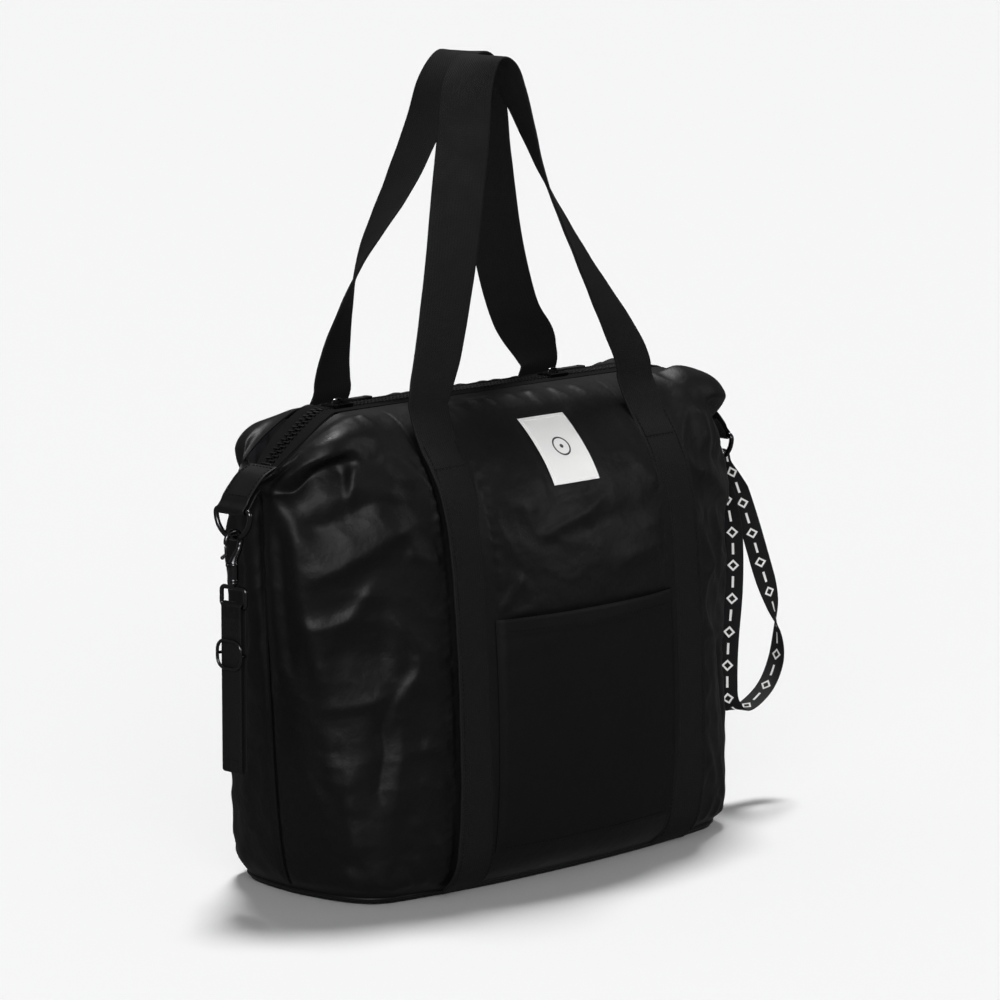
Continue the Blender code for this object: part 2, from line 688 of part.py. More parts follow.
def build_ring(name, side, metal):
    place = end_place(side)
    inner = RING_HALF_WIDTH - RING_CORNER
    outline = spread(-inner, inner, 5)
    route = [(y, 0.0) for y in outline]
    route += arc((inner, -RING_CORNER), RING_CORNER, 67, 22, 2)
    bowl = RING_DEPTH - RING_CORNER
    for step in range(19):
        angle = math.pi * step / 18
        route.append((RING_HALF_WIDTH * math.cos(angle), -RING_CORNER - bowl * math.sin(angle)))
    route += arc((-inner, -RING_CORNER), RING_CORNER, 158, 113, 2)
    path = [place(0.0, y, z) for y, z in route]
    pivot = place(0.0, 0.0, 0.0)
    tube("d_ring_" + name, path, [RING_WIRE] * len(path), metal, 10, pivot, closed=True)


def hook_place(side, y_centre):
    """Places about the ring's wire where the hook hangs on it."""
    lift = HOOK_RIGHT_LIFT if y_centre else 0.0
    return end_place(side, y_centre, RING_Z - RING_DEPTH + lift)


def build_hook(name, side, y_centre, metal):
    """The snap hook's jaw and barrel: one stem that thins and curls over the ring's wire."""
    place = hook_place(side, y_centre)
    centre_z = HOOK_TOP - HOOK_LOOP_RADIUS
    stem = [(0.0, BARREL_BOTTOM), (0.0, -0.0250), (0.0, BARREL_TOP), (-0.0016, -0.0140), (-0.0052, -0.0090)]
    stem_radii = [BARREL_RADIUS, BARREL_RADIUS, 0.0032, 0.0026, HOOK_WIRE]
    jaw = [(u, v + centre_z) for u, v in arc((0.0, 0.0), HOOK_LOOP_RADIUS, 205, -12, 16)]
    route = stem + jaw
    radii = stem_radii + [HOOK_WIRE] * (len(jaw) - 1) + [0.0017]
    path = [place(u, 0.0, v) for u, v in route]
    pivot = place(0.0, 0.0, 0.0)
    hook = tube("hook_" + name, path, radii, metal, 10, pivot)
    lug_path = [place(u, 0.0, v) for u, v in TRIGGER_LUG]
    lug = tube("lug_" + name, lug_path, [TRIGGER_LUG_RADIUS] * 2, metal, 10, pivot)
    boolean(hook, lug, "UNION")


def build_trigger(name, side, y_centre, metal):
    """The hook's spring-loaded trigger: a bar that closes the jaw, with a thumb lever outside."""
    place = hook_place(side, y_centre)
    foot, tip = TRIGGER_PIVOT, TRIGGER_TIP
    path = [place(foot[0], 0.0, foot[1]), place(tip[0], 0.0, tip[1])]
    pivot = path[0]
    bar = tube("trigger_" + name, path, [TRIGGER_RADIUS] * 2, metal, 10, pivot)
    middle = [(foot[0] + tip[0]) / 2, (foot[1] + tip[1]) / 2]
    lever = [place(middle[0], 0.0, middle[1]), place(middle[0] + 0.0042, 0.0, middle[1] - 0.0026)]
    tool = tube("lever_" + name, lever, [0.0010, 0.0014], metal, 8, pivot)
    boolean(bar, tool, "UNION")


def build_swivel(name, side, y_centre, metal):
    """The square eye that turns under the hook's barrel, with its collar and stem."""
    place = hook_place(side, y_centre)
    middle = (EYE_TOP + EYE_BOTTOM) / 2
    frame = rounded_rectangle(EYE_HALF_WIDTH, (EYE_TOP - EYE_BOTTOM) / 2, 0.0030, 4)
    path = [place(0.0, u, middle + v) for u, v in frame]
    pivot = place(0.0, 0.0, middle)
    eye = tube("swivel_" + name, path, [EYE_WIRE] * len(path), metal, 8, pivot, closed=True)
    collar_top = BARREL_BOTTOM - TOUCH_GAP
    stem = [EYE_TOP, collar_top - 0.0020, collar_top - 0.0019, collar_top]
    stem_path = [place(0.0, 0.0, v) for v in stem]
    collar = tube("collar_" + name, stem_path, [0.0018, 0.0018, 0.0031, 0.0031], metal, 10, pivot)
    boolean(eye, collar, "UNION")


def strap_route():
    """Out and up of the doubled strap's centreline: round the eye's bar, down, and back up."""
    layer = STRAP_HALF_GAP
    start = EYE_BOTTOM - 0.0080
    top = arc((0.0, EYE_BOTTOM), EYE_WIRE + TOUCH_GAP + STRAP_THICKNESS / 2, 10, 170, 8)
    left = [(-layer, z) for z in spread(start, STRAP_BOTTOM + layer, 8)]
    bottom = arc((0.0, STRAP_BOTTOM + layer), layer, 200, 340, 6)
    right = [(layer, z) for z in spread(STRAP_BOTTOM + layer, start, 8)]
    return top + left + bottom + right


def build_stroller_strap(name, side, y_centre, webbing):
    place = hook_place(side, y_centre)
    path = [place(u, 0.0, v) for u, v in strap_route()]
    widths = [Vector((0, STRAP_WIDTH / 2, 0))] * len(path)
    pivot = place(0.0, 0.0, EYE_BOTTOM)
    ribbon("stroller_strap_" + name, path, widths, STRAP_THICKNESS, webbing, pivot, closed=True)


def build_adjuster(name, side, y_centre, metal):
    """An oval loop over the strap's outer layer, held by a bar between the two layers."""
    place = hook_place(side, y_centre)
    front = STRAP_HALF_GAP + STRAP_THICKNESS / 2 + TOUCH_GAP + ADJUSTER_WIRE
    oval = rounded_rectangle(ADJUSTER_HALF_WIDTH, ADJUSTER_HALF_HEIGHT, 0.0075, 5)
    path = [place(front, u, ADJUSTER_Z + v) for u, v in oval]
    pivot = place(0.0, 0.0, ADJUSTER_Z)
    frame = tube("adjuster_" + name, path, [ADJUSTER_WIRE] * len(path), metal, 8, pivot, closed=True)
    wide = ADJUSTER_HALF_WIDTH
    corners = [(front, -wide), (0.0012, -wide), (0.0, -wide + 0.0012)]
    corners += [(u, -v) for u, v in reversed(corners)]
    bar_path = [place(u, v, ADJUSTER_Z) for u, v in corners]
    bar = tube("bar_" + name, bar_path, [ADJUSTER_WIRE * 0.9] * len(bar_path), metal, 8, pivot)
    boolean(frame, bar, "UNION")


def build_ends(metal, leather, webbing):
    for name, side in SIDES:
        y_centre = HOOK_RIGHT_Y if side > 0 else 0.0
        build_tab(name, side, leather)
        build_ring(name, side, metal)
        build_hook(name, side, y_centre, metal)
        build_trigger(name, side, y_centre, metal)
        build_swivel(name, side, y_centre, metal)
        build_stroller_strap(name, side, y_centre, webbing)
        build_adjuster(name, side, y_centre, metal)


# ---------------------------------------------------------------- lanyard


def build_lanyard(tape):
    samples = catmull_rom(LANYARD_ROUTE, LANYARD_STEPS)
    path = [Vector(sample[:3]) for sample in samples]
    widths = []
    for k, sample in enumerate(samples):
        angle = math.radians(sample[3])
        from_ring = (path[k] - LANYARD_HANG).length
        share = min(max((from_ring - LANYARD_GATHER[0]) / (LANYARD_GATHER[1] - LANYARD_GATHER[0]), 0.0), 1.0)
        width = LANYARD_NARROW + (LANYARD_WIDTH - LANYARD_NARROW) * share
        widths.append(Vector((math.cos(angle), math.sin(angle), 0)) * width / 2)
    ribbon("lanyard", path, widths, LANYARD_THICKNESS, tape, LANYARD_PIVOT)


def main():
    clear_scene()
    fabric = make_material("satin_nylon", (0.012, 0.012, 0.014), 0.38)
    lining_cloth = make_material("lining", (0.055, 0.055, 0.060), 0.70)
    board = make_material("board", (0.10, 0.10, 0.10), 0.80)
    webbing = make_material("webbing", (0.014, 0.014, 0.015), 0.62)
    tape = make_material("zip_tape", (0.010, 0.010, 0.011), 0.80)
    teeth = make_material("zip_teeth", (0.16, 0.16, 0.17), 0.30, 0.9)
    metal = make_material("dark_metal", (0.10, 0.10, 0.11), 0.25, 1.0)
    leather = make_material("faux_leather", (0.012, 0.012, 0.013), 0.45)
    label = make_material("label", (0.82, 0.82, 0.80), 0.85)
    lanyard = make_material("lanyard_tape", (0.020, 0.020, 0.022), 0.60)
    build_panels(fabric, lining_cloth)
    build_base(fabric, board)
    build_webbing(webbing)
    build_handles(webbing)
    build_pockets(fabric, lining_cloth)
    build_label(label)
    build_zip(tape, teeth)
    build_slider("left", SLIDER_LEFT_X, metal)
    build_slider("right", SLIDER_RIGHT_X, metal)
    build_ends(metal, leather, webbing)
    build_lanyard(lanyard)


main()
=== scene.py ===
"""The changing bag's visual model: satin nylon body with folds and puckers, webbing handles,
zip with real teeth, gunmetal hardware, clip straps and a wrist lanyard.

Metres, +Z up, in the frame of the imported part. The front faces -Y.
"""

import math
from functools import partial

import bmesh
import bpy
import numpy as np
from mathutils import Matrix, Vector


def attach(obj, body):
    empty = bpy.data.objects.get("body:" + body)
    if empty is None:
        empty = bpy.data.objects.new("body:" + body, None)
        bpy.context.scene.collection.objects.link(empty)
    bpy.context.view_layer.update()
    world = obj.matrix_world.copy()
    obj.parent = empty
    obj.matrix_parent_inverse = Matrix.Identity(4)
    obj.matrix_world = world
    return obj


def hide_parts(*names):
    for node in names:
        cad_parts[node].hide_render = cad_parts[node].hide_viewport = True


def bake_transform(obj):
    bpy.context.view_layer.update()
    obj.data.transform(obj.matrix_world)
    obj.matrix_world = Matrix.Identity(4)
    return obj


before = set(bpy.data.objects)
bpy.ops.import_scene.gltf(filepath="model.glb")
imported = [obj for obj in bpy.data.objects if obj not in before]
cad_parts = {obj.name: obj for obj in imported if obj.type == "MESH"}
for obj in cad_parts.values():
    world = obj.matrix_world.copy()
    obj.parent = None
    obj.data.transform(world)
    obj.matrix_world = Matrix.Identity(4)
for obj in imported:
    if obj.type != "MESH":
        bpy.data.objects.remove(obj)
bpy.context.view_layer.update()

MM = 0.001
TURN = 2 * math.pi
SIDES = (("left", -1), ("right", 1))
FACES = (("front", -1), ("back", 1))

# ---------------- camera

# The object is seen from its front left, a little from above.
CAMERA_AZIMUTH = math.radians(45.6)
CAMERA_PITCH = math.radians(9.4)
CAMERA_ELEVATION = math.radians(13.18)
CAMERA_DISTANCE = 3.955
CAMERA_ASIDE = 0.0112
CAMERA_LENS = 190.8


def build_camera():
    data = bpy.data.cameras.new("camera")
    data.lens = CAMERA_LENS
    data.clip_end = 100.0
    camera = bpy.data.objects.new("camera", data)
    ahead = Vector((math.sin(CAMERA_AZIMUTH), math.cos(CAMERA_AZIMUTH), 0.0))
    right = Vector((ahead.y, -ahead.x, 0.0))
    level = CAMERA_DISTANCE * math.cos(CAMERA_ELEVATION)
    height = CAMERA_DISTANCE * math.sin(CAMERA_ELEVATION)
    camera.location = -ahead * level + right * CAMERA_ASIDE + Vector((0.0, 0.0, height))
    camera.rotation_euler = (math.pi / 2 - CAMERA_PITCH, 0.0, -CAMERA_AZIMUTH)
    bpy.context.scene.collection.objects.link(camera)
    bpy.context.scene.camera = camera


build_camera()

# ---------------- mesh helpers


def soft_step(value, low, high):
    """0 below low, 1 above high, and a smooth rise between them."""
    share = np.clip((value - low) / (high - low), 0.0, 1.0)
    return share * share * (3 - 2 * share)


def make_object(name, vertices, faces, material, body, uv=None, angle=40.0):
    """A piece from world coordinates. uv holds one pair of metres for each vertex."""
    mesh = bpy.data.meshes.new(name)
    places = np.asarray(vertices, float).reshape(-1, 3).tolist()
    mesh.from_pydata(places, [], [list(map(int, face)) for face in faces])
    if uv is not None:
        corners = np.empty(len(mesh.loops), np.int32)
        mesh.loops.foreach_get("vertex_index", corners)
        layer = mesh.uv_layers.new(name="metres")
        layer.data.foreach_set("uv", np.asarray(uv, np.float32).reshape(-1, 2)[corners].ravel())
    shape = bmesh.new()
    shape.from_mesh(mesh)
    bmesh.ops.recalc_face_normals(shape, faces=shape.faces)
    shape.to_mesh(mesh)
    shape.free()
    mesh.shade_smooth()
    mesh.set_sharp_from_angle(angle=math.radians(angle))
    mesh.materials.append(material)
    obj = bpy.data.objects.new(name, mesh)
    bpy.context.scene.collection.objects.link(obj)
    if body:
        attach(obj, body)
    return obj


def grid_faces(rows, columns, start=0, closed=False):
    """Quads of a grid whose points run row by row; closed joins the last column to the first."""
    r, c = np.meshgrid(np.arange(rows - 1), np.arange(columns if closed else columns - 1), indexing="ij")
    d = (c + 1) % columns
    quads = np.stack([r * columns + c, r * columns + d, (r + 1) * columns + d, (r + 1) * columns + c], -1)
    return (quads.reshape(-1, 4) + start).tolist()


def loft_faces(count, size, start=0, looped=False):
    """Faces through count rings of one size: looped back to the first ring, or capped at both ends."""
    last = start + (count - 1) * size
    faces = grid_faces(count, size, start, closed=True)
    if looped:
        after = [(c + 1) % size for c in range(size)]
        return faces + [(last + c, last + d, start + d, start + c) for c, d in enumerate(after)]
    return faces + [list(range(start, start + size)), [last + c for c in reversed(range(size))]]


def both_sides(across, along):
    """Metres across and along a sheet, for its outer and then its inner grid."""
    return np.tile(np.stack([across, along], -1).reshape(-1, 2), (2, 1))


def sheet_solid(outer, inner):
    """Vertices and faces of a closed sheet between two grids of points."""
    rows, columns = outer.shape[:2]
    vertices = np.concatenate([outer.reshape(-1, 3), inner.reshape(-1, 3)])
    back = rows * columns
    faces = grid_faces(rows, columns)
    faces += [f[::-1] for f in grid_faces(rows, columns, back)]
    rim = list(range(columns)) + [r * columns + columns - 1 for r in range(1, rows)]
    rim += [(rows - 1) * columns + c for c in range(columns - 2, -1, -1)]
    rim += [r * columns for r in range(rows - 2, 0, -1)]
    faces += [(b, a, back + a, back + b) for a, b in zip(rim, rim[1:] + rim[:1])]
    return vertices, faces


def smooth_route(points, per_span):
    """Points on the smooth curve through a list of equal-length tuples."""
    points = np.asarray(points, float)
    padded = np.concatenate([points[:1], points, points[-1:]])
    dense = []
    for k in range(len(points) - 1):
        p0, p1, p2, p3 = padded[k:k + 4]
        for step in range(per_span):
            t = step / per_span
            dense.append(0.5 * (2 * p1 + (p2 - p0) * t + (2 * p0 - 5 * p1 + 4 * p2 - p3) * t * t
                                + (3 * p1 - p0 - 3 * p2 + p3) * t ** 3))
    dense.append(points[-1])
    return np.array(dense)


def run_length(path):
    return np.concatenate([[0.0], np.cumsum(np.linalg.norm(np.diff(path, axis=0), axis=1))])


def evenly(points, count):
    """count points at equal distances along a polyline; columns after the third are carried along."""
    points = np.asarray(points, float)
    along = run_length(points[:, :3])
    wanted = np.linspace(0.0, along[-1], count)
    return np.stack([np.interp(wanted, along, points[:, k]) for k in range(points.shape[1])], -1)


def tangents(path, closed=False):
    ahead = np.roll(path, -1, 0) - np.roll(path, 1, 0)
    if not closed:
        ahead[0] = path[1] - path[0]
        ahead[-1] = path[-1] - path[-2]
    return ahead / np.linalg.norm(ahead, axis=1)[:, None]


def unit(vectors):
    return vectors / np.maximum(np.linalg.norm(vectors, axis=-1), 1e-12)[..., None]


def band_section(half_width, thickness, columns):
    """Cross-section (across, lift) of webbing: flat faces and rounded edges."""
    edge = thickness * 0.5
    flat = half_width - edge
    right = [(u, thickness / 2) for u in np.linspace(-flat, flat, columns)]
    right += [(flat + edge * math.sin(t), edge * math.cos(t)) for t in np.linspace(0.5, 2.64, 4)]
    return np.array(right + [(-u, -v) for u, v in right])


def band(path, sides, widths, thickness, closed=False, columns=10, ripple=None):
    """Vertices, faces, metric uv and lifts of a flat band along a path.

    sides are unit vectors across the band; ripple(along, across) adds a small lift.
    """
    along = run_length(path)
    ahead = tangents(path, closed)
    sides = unit(sides - ahead * (sides * ahead).sum(1)[:, None])
    lifts = unit(np.cross(ahead, sides))
    rings, uv = [], []
    for k in range(len(path)):
        section = band_section(widths[k] / 2, thickness, columns)
        wave = ripple(along[k], section[:, 0]) if ripple else 0.0
        rings.append(path[k] + sides[k] * section[:, :1] + lifts[k] * (section[:, 1] + wave)[:, None])
        uv.append(np.stack([section[:, 0], np.full(len(section), along[k])], -1))
    faces = loft_faces(len(path), len(rings[0]), looped=closed)
    return np.concatenate(rings), faces, np.concatenate(uv), lifts


def tube_mesh(path, radii, sides, closed=False):
    """Vertices and faces of a round tube along a path that lies in one plane."""
    path = np.asarray(path, float)
    steps = np.diff(path, axis=0)
    normal = np.cross(steps[:-1], steps[1:]).sum(0)
    if np.linalg.norm(normal) < 1e-12:
        normal = np.cross(path[1] - path[0], (0.3, 0.9, 0.2))
    normal = normal / np.linalg.norm(normal)
    across = unit(np.cross(normal, tangents(path, closed)))
    angles = np.linspace(0.0, TURN, sides, endpoint=False)
    radii = np.broadcast_to(np.asarray(radii, float), (len(path),))
    cosines, sines = np.cos(angles)[None, :, None], np.sin(angles)[None, :, None]
    ring = normal[None, None] * cosines + across[:, None] * sines
    vertices = (path[:, None] + ring * radii[:, None, None]).reshape(-1, 3)
    return vertices, loft_faces(len(path), sides, looped=closed)


def join_parts(parts):
    """One vertex list and face list from several (vertices, faces)."""
    vertices, faces, start = [], [], 0
    for points, polygons in parts:
        vertices.append(np.asarray(points, float).reshape(-1, 3))
        faces += [[k + start for k in polygon] for polygon in polygons]
        start += len(vertices[-1])
    return np.concatenate(vertices), faces


STITCH_PITCH = 3.4 * MM
STITCH_LENGTH = 2.7 * MM
STITCH_RADIUS = 0.32 * MM
STITCH_RISE = 1.3    # height of a stitch's arch, in radii
STITCH_SUNK = 0.45   # how much of the arch lies in the cloth
STITCH_GIRTH = np.array([0.45, 0.9, 1.0, 1.0, 0.9, 0.45])   # thickness along a stitch, in radii
STITCH_SIDES = 6
BAR_POINTS = 8


def stitch_row(path, normals, pitch=STITCH_PITCH, length=STITCH_LENGTH, radius=STITCH_RADIUS):
    """Thread stitches along a path: each dips into the cloth at both of its ends."""
    path = np.asarray(path, float)
    along = run_length(path)
    normals = np.broadcast_to(np.asarray(normals, float), path.shape)
    count = int((along[-1] - length) / pitch)
    centres = along[0] + length / 2 + pitch * np.arange(count + 1)
    rings = len(STITCH_GIRTH)
    steps = np.linspace(-0.5, 0.5, rings)
    where = np.clip(centres[:, None] + steps[None] * length, 0.0, along[-1])
    points = np.stack([np.interp(where, along, path[:, k]) for k in range(3)], -1)
    out = unit(np.stack([np.interp(where, along, normals[:, k]) for k in range(3)], -1))
    arch = np.sqrt(np.maximum(1 - (2 * steps) ** 2, 0.0))
    points = points + out * ((arch - STITCH_SUNK) * radius * STITCH_RISE)[None, :, None]
    ahead = unit(np.gradient(points, axis=1))
    side = unit(np.cross(ahead, out))
    up = np.cross(side, ahead)
    angles = np.linspace(0.0, TURN, STITCH_SIDES, endpoint=False)
    thick = radius * STITCH_GIRTH
    ring = side[:, :, None] * np.cos(angles)[:, None] + up[:, :, None] * np.sin(angles)[:, None]
    vertices = points[:, :, None] + ring * thick[None, :, None, None]
    faces = []
    for k in range(len(centres)):
        faces += loft_faces(rings, STITCH_SIDES, k * rings * STITCH_SIDES)
    return vertices.reshape(-1, 3), faces


def stitch_bar(centre, half, direction, normal, *sizes):
    """A straight row of stitches across a band; sizes are stitch_row's."""
    across = centre + np.linspace(-1.0, 1.0, BAR_POINTS)[:, None] * half * np.asarray(direction)
    return stitch_row(across, np.tile(normal, (BAR_POINTS, 1)), *sizes)


NOISE_CELLS = 64


def noise(u, v, seed, octaves=3):
    """Smooth noise from -1 to 1 with a lattice step of 1; each octave is half the one before."""
    total, weight, norm = 0.0, 1.0, 0.0
    for octave in range(octaves):
        table = np.random.RandomState(seed + 17 * octave).rand(NOISE_CELLS, NOISE_CELLS) * 2 - 1
        iu, iv = np.floor(u).astype(int), np.floor(v).astype(int)
        fu, fv = u - iu, v - iv
        fu = fu ** 3 * (fu * (fu * 6 - 15) + 10)
        fv = fv ** 3 * (fv * (fv * 6 - 15) + 10)
        corner = [[table[(iu + a) % NOISE_CELLS, (iv + b) % NOISE_CELLS] for b in (0, 1)] for a in (0, 1)]
        low = corner[0][0] * (1 - fu) + corner[1][0] * fu
        high = corner[0][1] * (1 - fu) + corner[1][1] * fu
        total = total + weight * (low * (1 - fv) + high * fv)
        norm += weight
        weight *= 0.5
        u, v = u * 2.03 + 7.1, v * 2.03 + 3.7
    return total / norm


# ---------------- the body's surface

# One closed contour for each level, from the base to the zip: depth and height at mid length,
# corner (x, depth, height), side seam (x, height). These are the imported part's own levels.
LEVELS = np.array((
    (0.086, 0.0040, 0.194, 0.066, 0.0040, 0.196, 0.0040),
    (0.106, 0.0240, 0.203, 0.067, 0.0240, 0.206, 0.0240),
    (0.114, 0.0750, 0.211, 0.057, 0.0750, 0.213, 0.0750),
    (0.115, 0.1350, 0.218, 0.045, 0.1350, 0.217, 0.1350),
    (0.112, 0.1900, 0.226, 0.035, 0.1900, 0.220, 0.1900),
    (0.107, 0.2400, 0.233, 0.028, 0.2400, 0.221, 0.2400),
    (0.098, 0.2760, 0.235, 0.029, 0.2740, 0.222, 0.2700),
    (0.086, 0.3000, 0.232, 0.034, 0.2970, 0.224, 0.2850),
    (0.068, 0.3210, 0.224, 0.040, 0.3180, 0.227, 0.2930),
    (0.050, 0.3360, 0.218, 0.043, 0.3320, 0.230, 0.2980),
    (0.034, 0.3445, 0.222, 0.034, 0.3270, 0.233, 0.3005),
    (0.0168, 0.3490, 0.2385, 0.0230, 0.3060, 0.2370, 0.3030),
))
FACE_POWER = 2.3
FACE_SHARE = 0.86
SLOPE_START = 0.168
SLOPE_POWER = 1.3
BROAD = 0.80  # |s| where the broad face hands over to the rounded end
BROAD_REACH = 0.195  # |x| of that line at mid height
END_DEPTH = 0.35  # how far the rounded end holds the corner's depth on its way to the seam
END_RISE = 0.25  # and the corner's height
STRAP_X = 0.110
STRAP_HALF = 0.019
SEAM_GAP = 0.0002
PANEL_THICKNESS = 0.0010
PANEL_ROWS = 230
PANEL_COLUMNS = 330


def levels_at(v):
    """The contours' measures at fractional levels, on smooth curves through LEVELS."""
    v = np.asarray(v, float)
    low = np.clip(np.floor(v).astype(int), 0, len(LEVELS) - 2)
    t = (v - low)[:, None]
    around = [LEVELS[np.clip(low + k, 0, len(LEVELS) - 1)] for k in (-1, 0, 1, 2)]
    weights = (0.5 * (-t + 2 * t * t - t ** 3), 0.5 * (2 - 5 * t * t + 3 * t ** 3),
               0.5 * (t + 4 * t * t - 3 * t ** 3), 0.5 * (-t * t + t ** 3))
    return sum(w * level for w, level in zip(weights, around))


def surface(face, s, v):
    """Points of a panel: s runs from -1 at the left seam to 1 at the right, v counts the levels."""
    level = levels_at(v)[:, None, :]
    mid_depth, mid_z, corner_x, corner_depth, corner_z, seam_x, seam_z = np.moveaxis(level, -1, 0)
    s = np.asarray(s, float)[None, :]
    end = np.sign(s)
    x = corner_x * FACE_SHARE * np.clip(s / BROAD, -1.0, 1.0)
    depth = mid_depth + (corner_depth - mid_depth) * (np.abs(x) / corner_x) ** FACE_POWER
    drop = np.maximum((np.abs(x) - SLOPE_START) / (corner_x - SLOPE_START), 0.0) ** SLOPE_POWER
    broad = np.stack([x, face * depth, mid_z + (corner_z - mid_z) * drop], -1)
    t = np.clip((np.abs(s) - BROAD) / (1 - BROAD), 0.0, 1.0)[..., None]
    blank = 0.0 * x
    corner = np.stack([end * corner_x, face * corner_depth + blank, corner_z + blank], -1)
    inner = np.stack([end * corner_x, face * corner_depth * END_DEPTH + blank,
                      seam_z + (corner_z - seam_z) * END_RISE + blank], -1)
    seam = np.stack([end * seam_x, blank + face * SEAM_GAP, seam_z + blank], -1)
    q = 1 - t
    return broad * q ** 3 + corner * 3 * q * q * t + inner * 3 * q * t * t + seam * t ** 3


def column_places(count):
    """Values of s, closer together along the straps' edges and round the ends."""
    s = np.linspace(-1.0, 1.0, 2001)
    strap_s = STRAP_X / BROAD_REACH * BROAD
    edge = np.abs(np.abs(np.abs(s) - strap_s) - STRAP_HALF / BROAD_REACH * BROAD)
    weight = 1.0 + 1.6 * np.exp(-(edge / 0.03) ** 2) + 0.5 * (np.abs(s) > strap_s + 0.1)
    total = np.concatenate([[0.0], np.cumsum((weight[1:] + weight[:-1]) / 2)])
    return np.interp(np.linspace(0.0, total[-1], count), total, s)


def row_places(count):
    """Values of v at equal steps up the middle of a panel."""
    v = np.linspace(0.0, len(LEVELS) - 1.0, 600)
    middle = surface(-1, [0.55], v)[:, 0]
    along = run_length(middle)
    return np.interp(np.linspace(0.0, along[-1], count), along, v)


def blur(points, times):
    """Softens a grid along its rows and leaves both ends where they are."""
    for _ in range(times):
        points[:, 1:-1] = points[:, 1:-1] * 0.5 + (points[:, :-2] + points[:, 2:]) * 0.25
    return points


def panel_frame(face, rows, columns):
    """Base points, outward normals and each point's (a, z): metres round the panel, and height."""
    s, v = column_places(columns), row_places(rows)
    points = blur(surface(face, s, v), max(columns // 30, 2))
    across, up = np.gradient(points, axis=1), np.gradient(points, axis=0)
    normals = unit(np.cross(across, up) * -face)
    normals[:, [0, -1], 1] = 0.0
    normals = unit(normals)
    steps = np.linalg.norm(np.diff(points, axis=1), axis=2)
    a = np.concatenate([np.zeros((rows, 1)), np.cumsum(steps, axis=1)], axis=1)
    middle = np.array([np.interp(0.0, s, row) for row in a])
    return points, normals, a - middle[:, None], points[..., 2].copy()


# ---------------- folds and puckers

# A fold is a route of (a, z) points in millimetres, its height, its widths on the left and right
# of its direction, and how crisp its crest is. Negative heights are creases.
END_FOLDS = (
    # the wing: its lip, and the deep tuck under it
    (((-252, 294), (-244, 299), (-230, 306.5), (-215, 314.5), (-200, 319), (-187, 320.5), (-181, 314)),
     -11.5, 2.2, 19, 1.7),
    (((-250, 301), (-236, 306.5), (-215, 319.5), (-200, 324), (-186, 325.5), (-177, 319)), 2.6, 8, 2.4, 1.7),
    # the corner's edge beside the side seam, and the hollow between the two
    (((-241, 290), (-239, 262), (-238, 235), (-234, 205), (-228, 175), (-223, 145)), 4.6, 15, 5, 1.5),
    (((-251, 288), (-251, 240), (-250, 200), (-247, 160)), -3.4, 6, 6, 2.0),
    # the large diagonal fold and its neighbours
    (((-240, 235), (-215, 242), (-185, 257), (-165, 267), (-147, 275)), 5.6, 15, 6.5, 1.5),
    (((-238, 272), (-215, 276), (-192, 284), (-180, 297)), -4.2, 9, 8, 1.8),
    (((-164, 323), (-161, 306), (-165, 287)), 2.4, 10, 15, 1.4),
    (((-164, 324), (-150, 318.5), (-138, 304), (-129, 281), (-124, 256)), 3.2, 5, 8, 1.4),
    (((-161, 254), (-145, 247), (-131, 246)), 2.2, 7, 4, 1.5),
    # the long creases lower down
    (((-242, 203), (-218, 204), (-205, 210), (-192, 224), (-181, 239)), 2.4, 3.6, 9, 1.4),
    (((-222, 188), (-196, 181), (-172, 182)), -3.8, 13, 13, 2.0),
    (((-182, 216), (-166, 198), (-157, 184), (-156, 170), (-166, 156), (-176, 144), (-184, 130)),
     2.8, 9, 3.6, 1.3),
    (((-234, 144), (-206, 145), (-185, 150), (-171, 159)), 2.8, 10, 4.5, 1.4),
    (((-175, 149), (-184, 131), (-183, 112), (-187, 90), (-189, 66)), -3.4, 3.5, 5.5, 1.4),
    (((-170, 137), (-171, 112), (-175, 86), (-178, 58)), 2.0, 8, 5, 1.5),
    (((-208, 112), (-210, 82), (-206, 52), (-199, 27)), 2.4, 7, 5, 1.5),
    (((-223, 130), (-222, 106), (-217, 78)), 1.3, 4, 4, 1.4),
    (((-167, 64), (-153, 53), (-141, 38), (-134, 22)), 1.9, 6, 5, 1.4),
    (((-156, 118), (-143, 110), (-132, 112)), 1.4, 6, 4, 1.4),
    (((-158, 92), (-146, 84), (-133, 86)), 1.3, 6, 4, 1.4),
    # crumples where the corner meets the base
    (((-190, 20), (-178, 15), (-168, 10)), 2.4, 2.6, 2.8, 1.3),
    (((-174, 30), (-166, 20), (-158, 13)), 2.2, 3, 3.4, 1.3),
    (((-180, 25), (-168, 24)), -1.8, 3, 3, 1.6),
    (((-161, 34), (-152, 22), (-146, 13)), 1.8, 3.4, 3.4, 1.3),
    (((-212, 30), (-204, 18), (-196, 10)), 1.6, 4, 3.4, 1.4),
    (((-246, 100), (-236, 88), (-228, 70)), 1.6, 5, 6, 1.6),
)
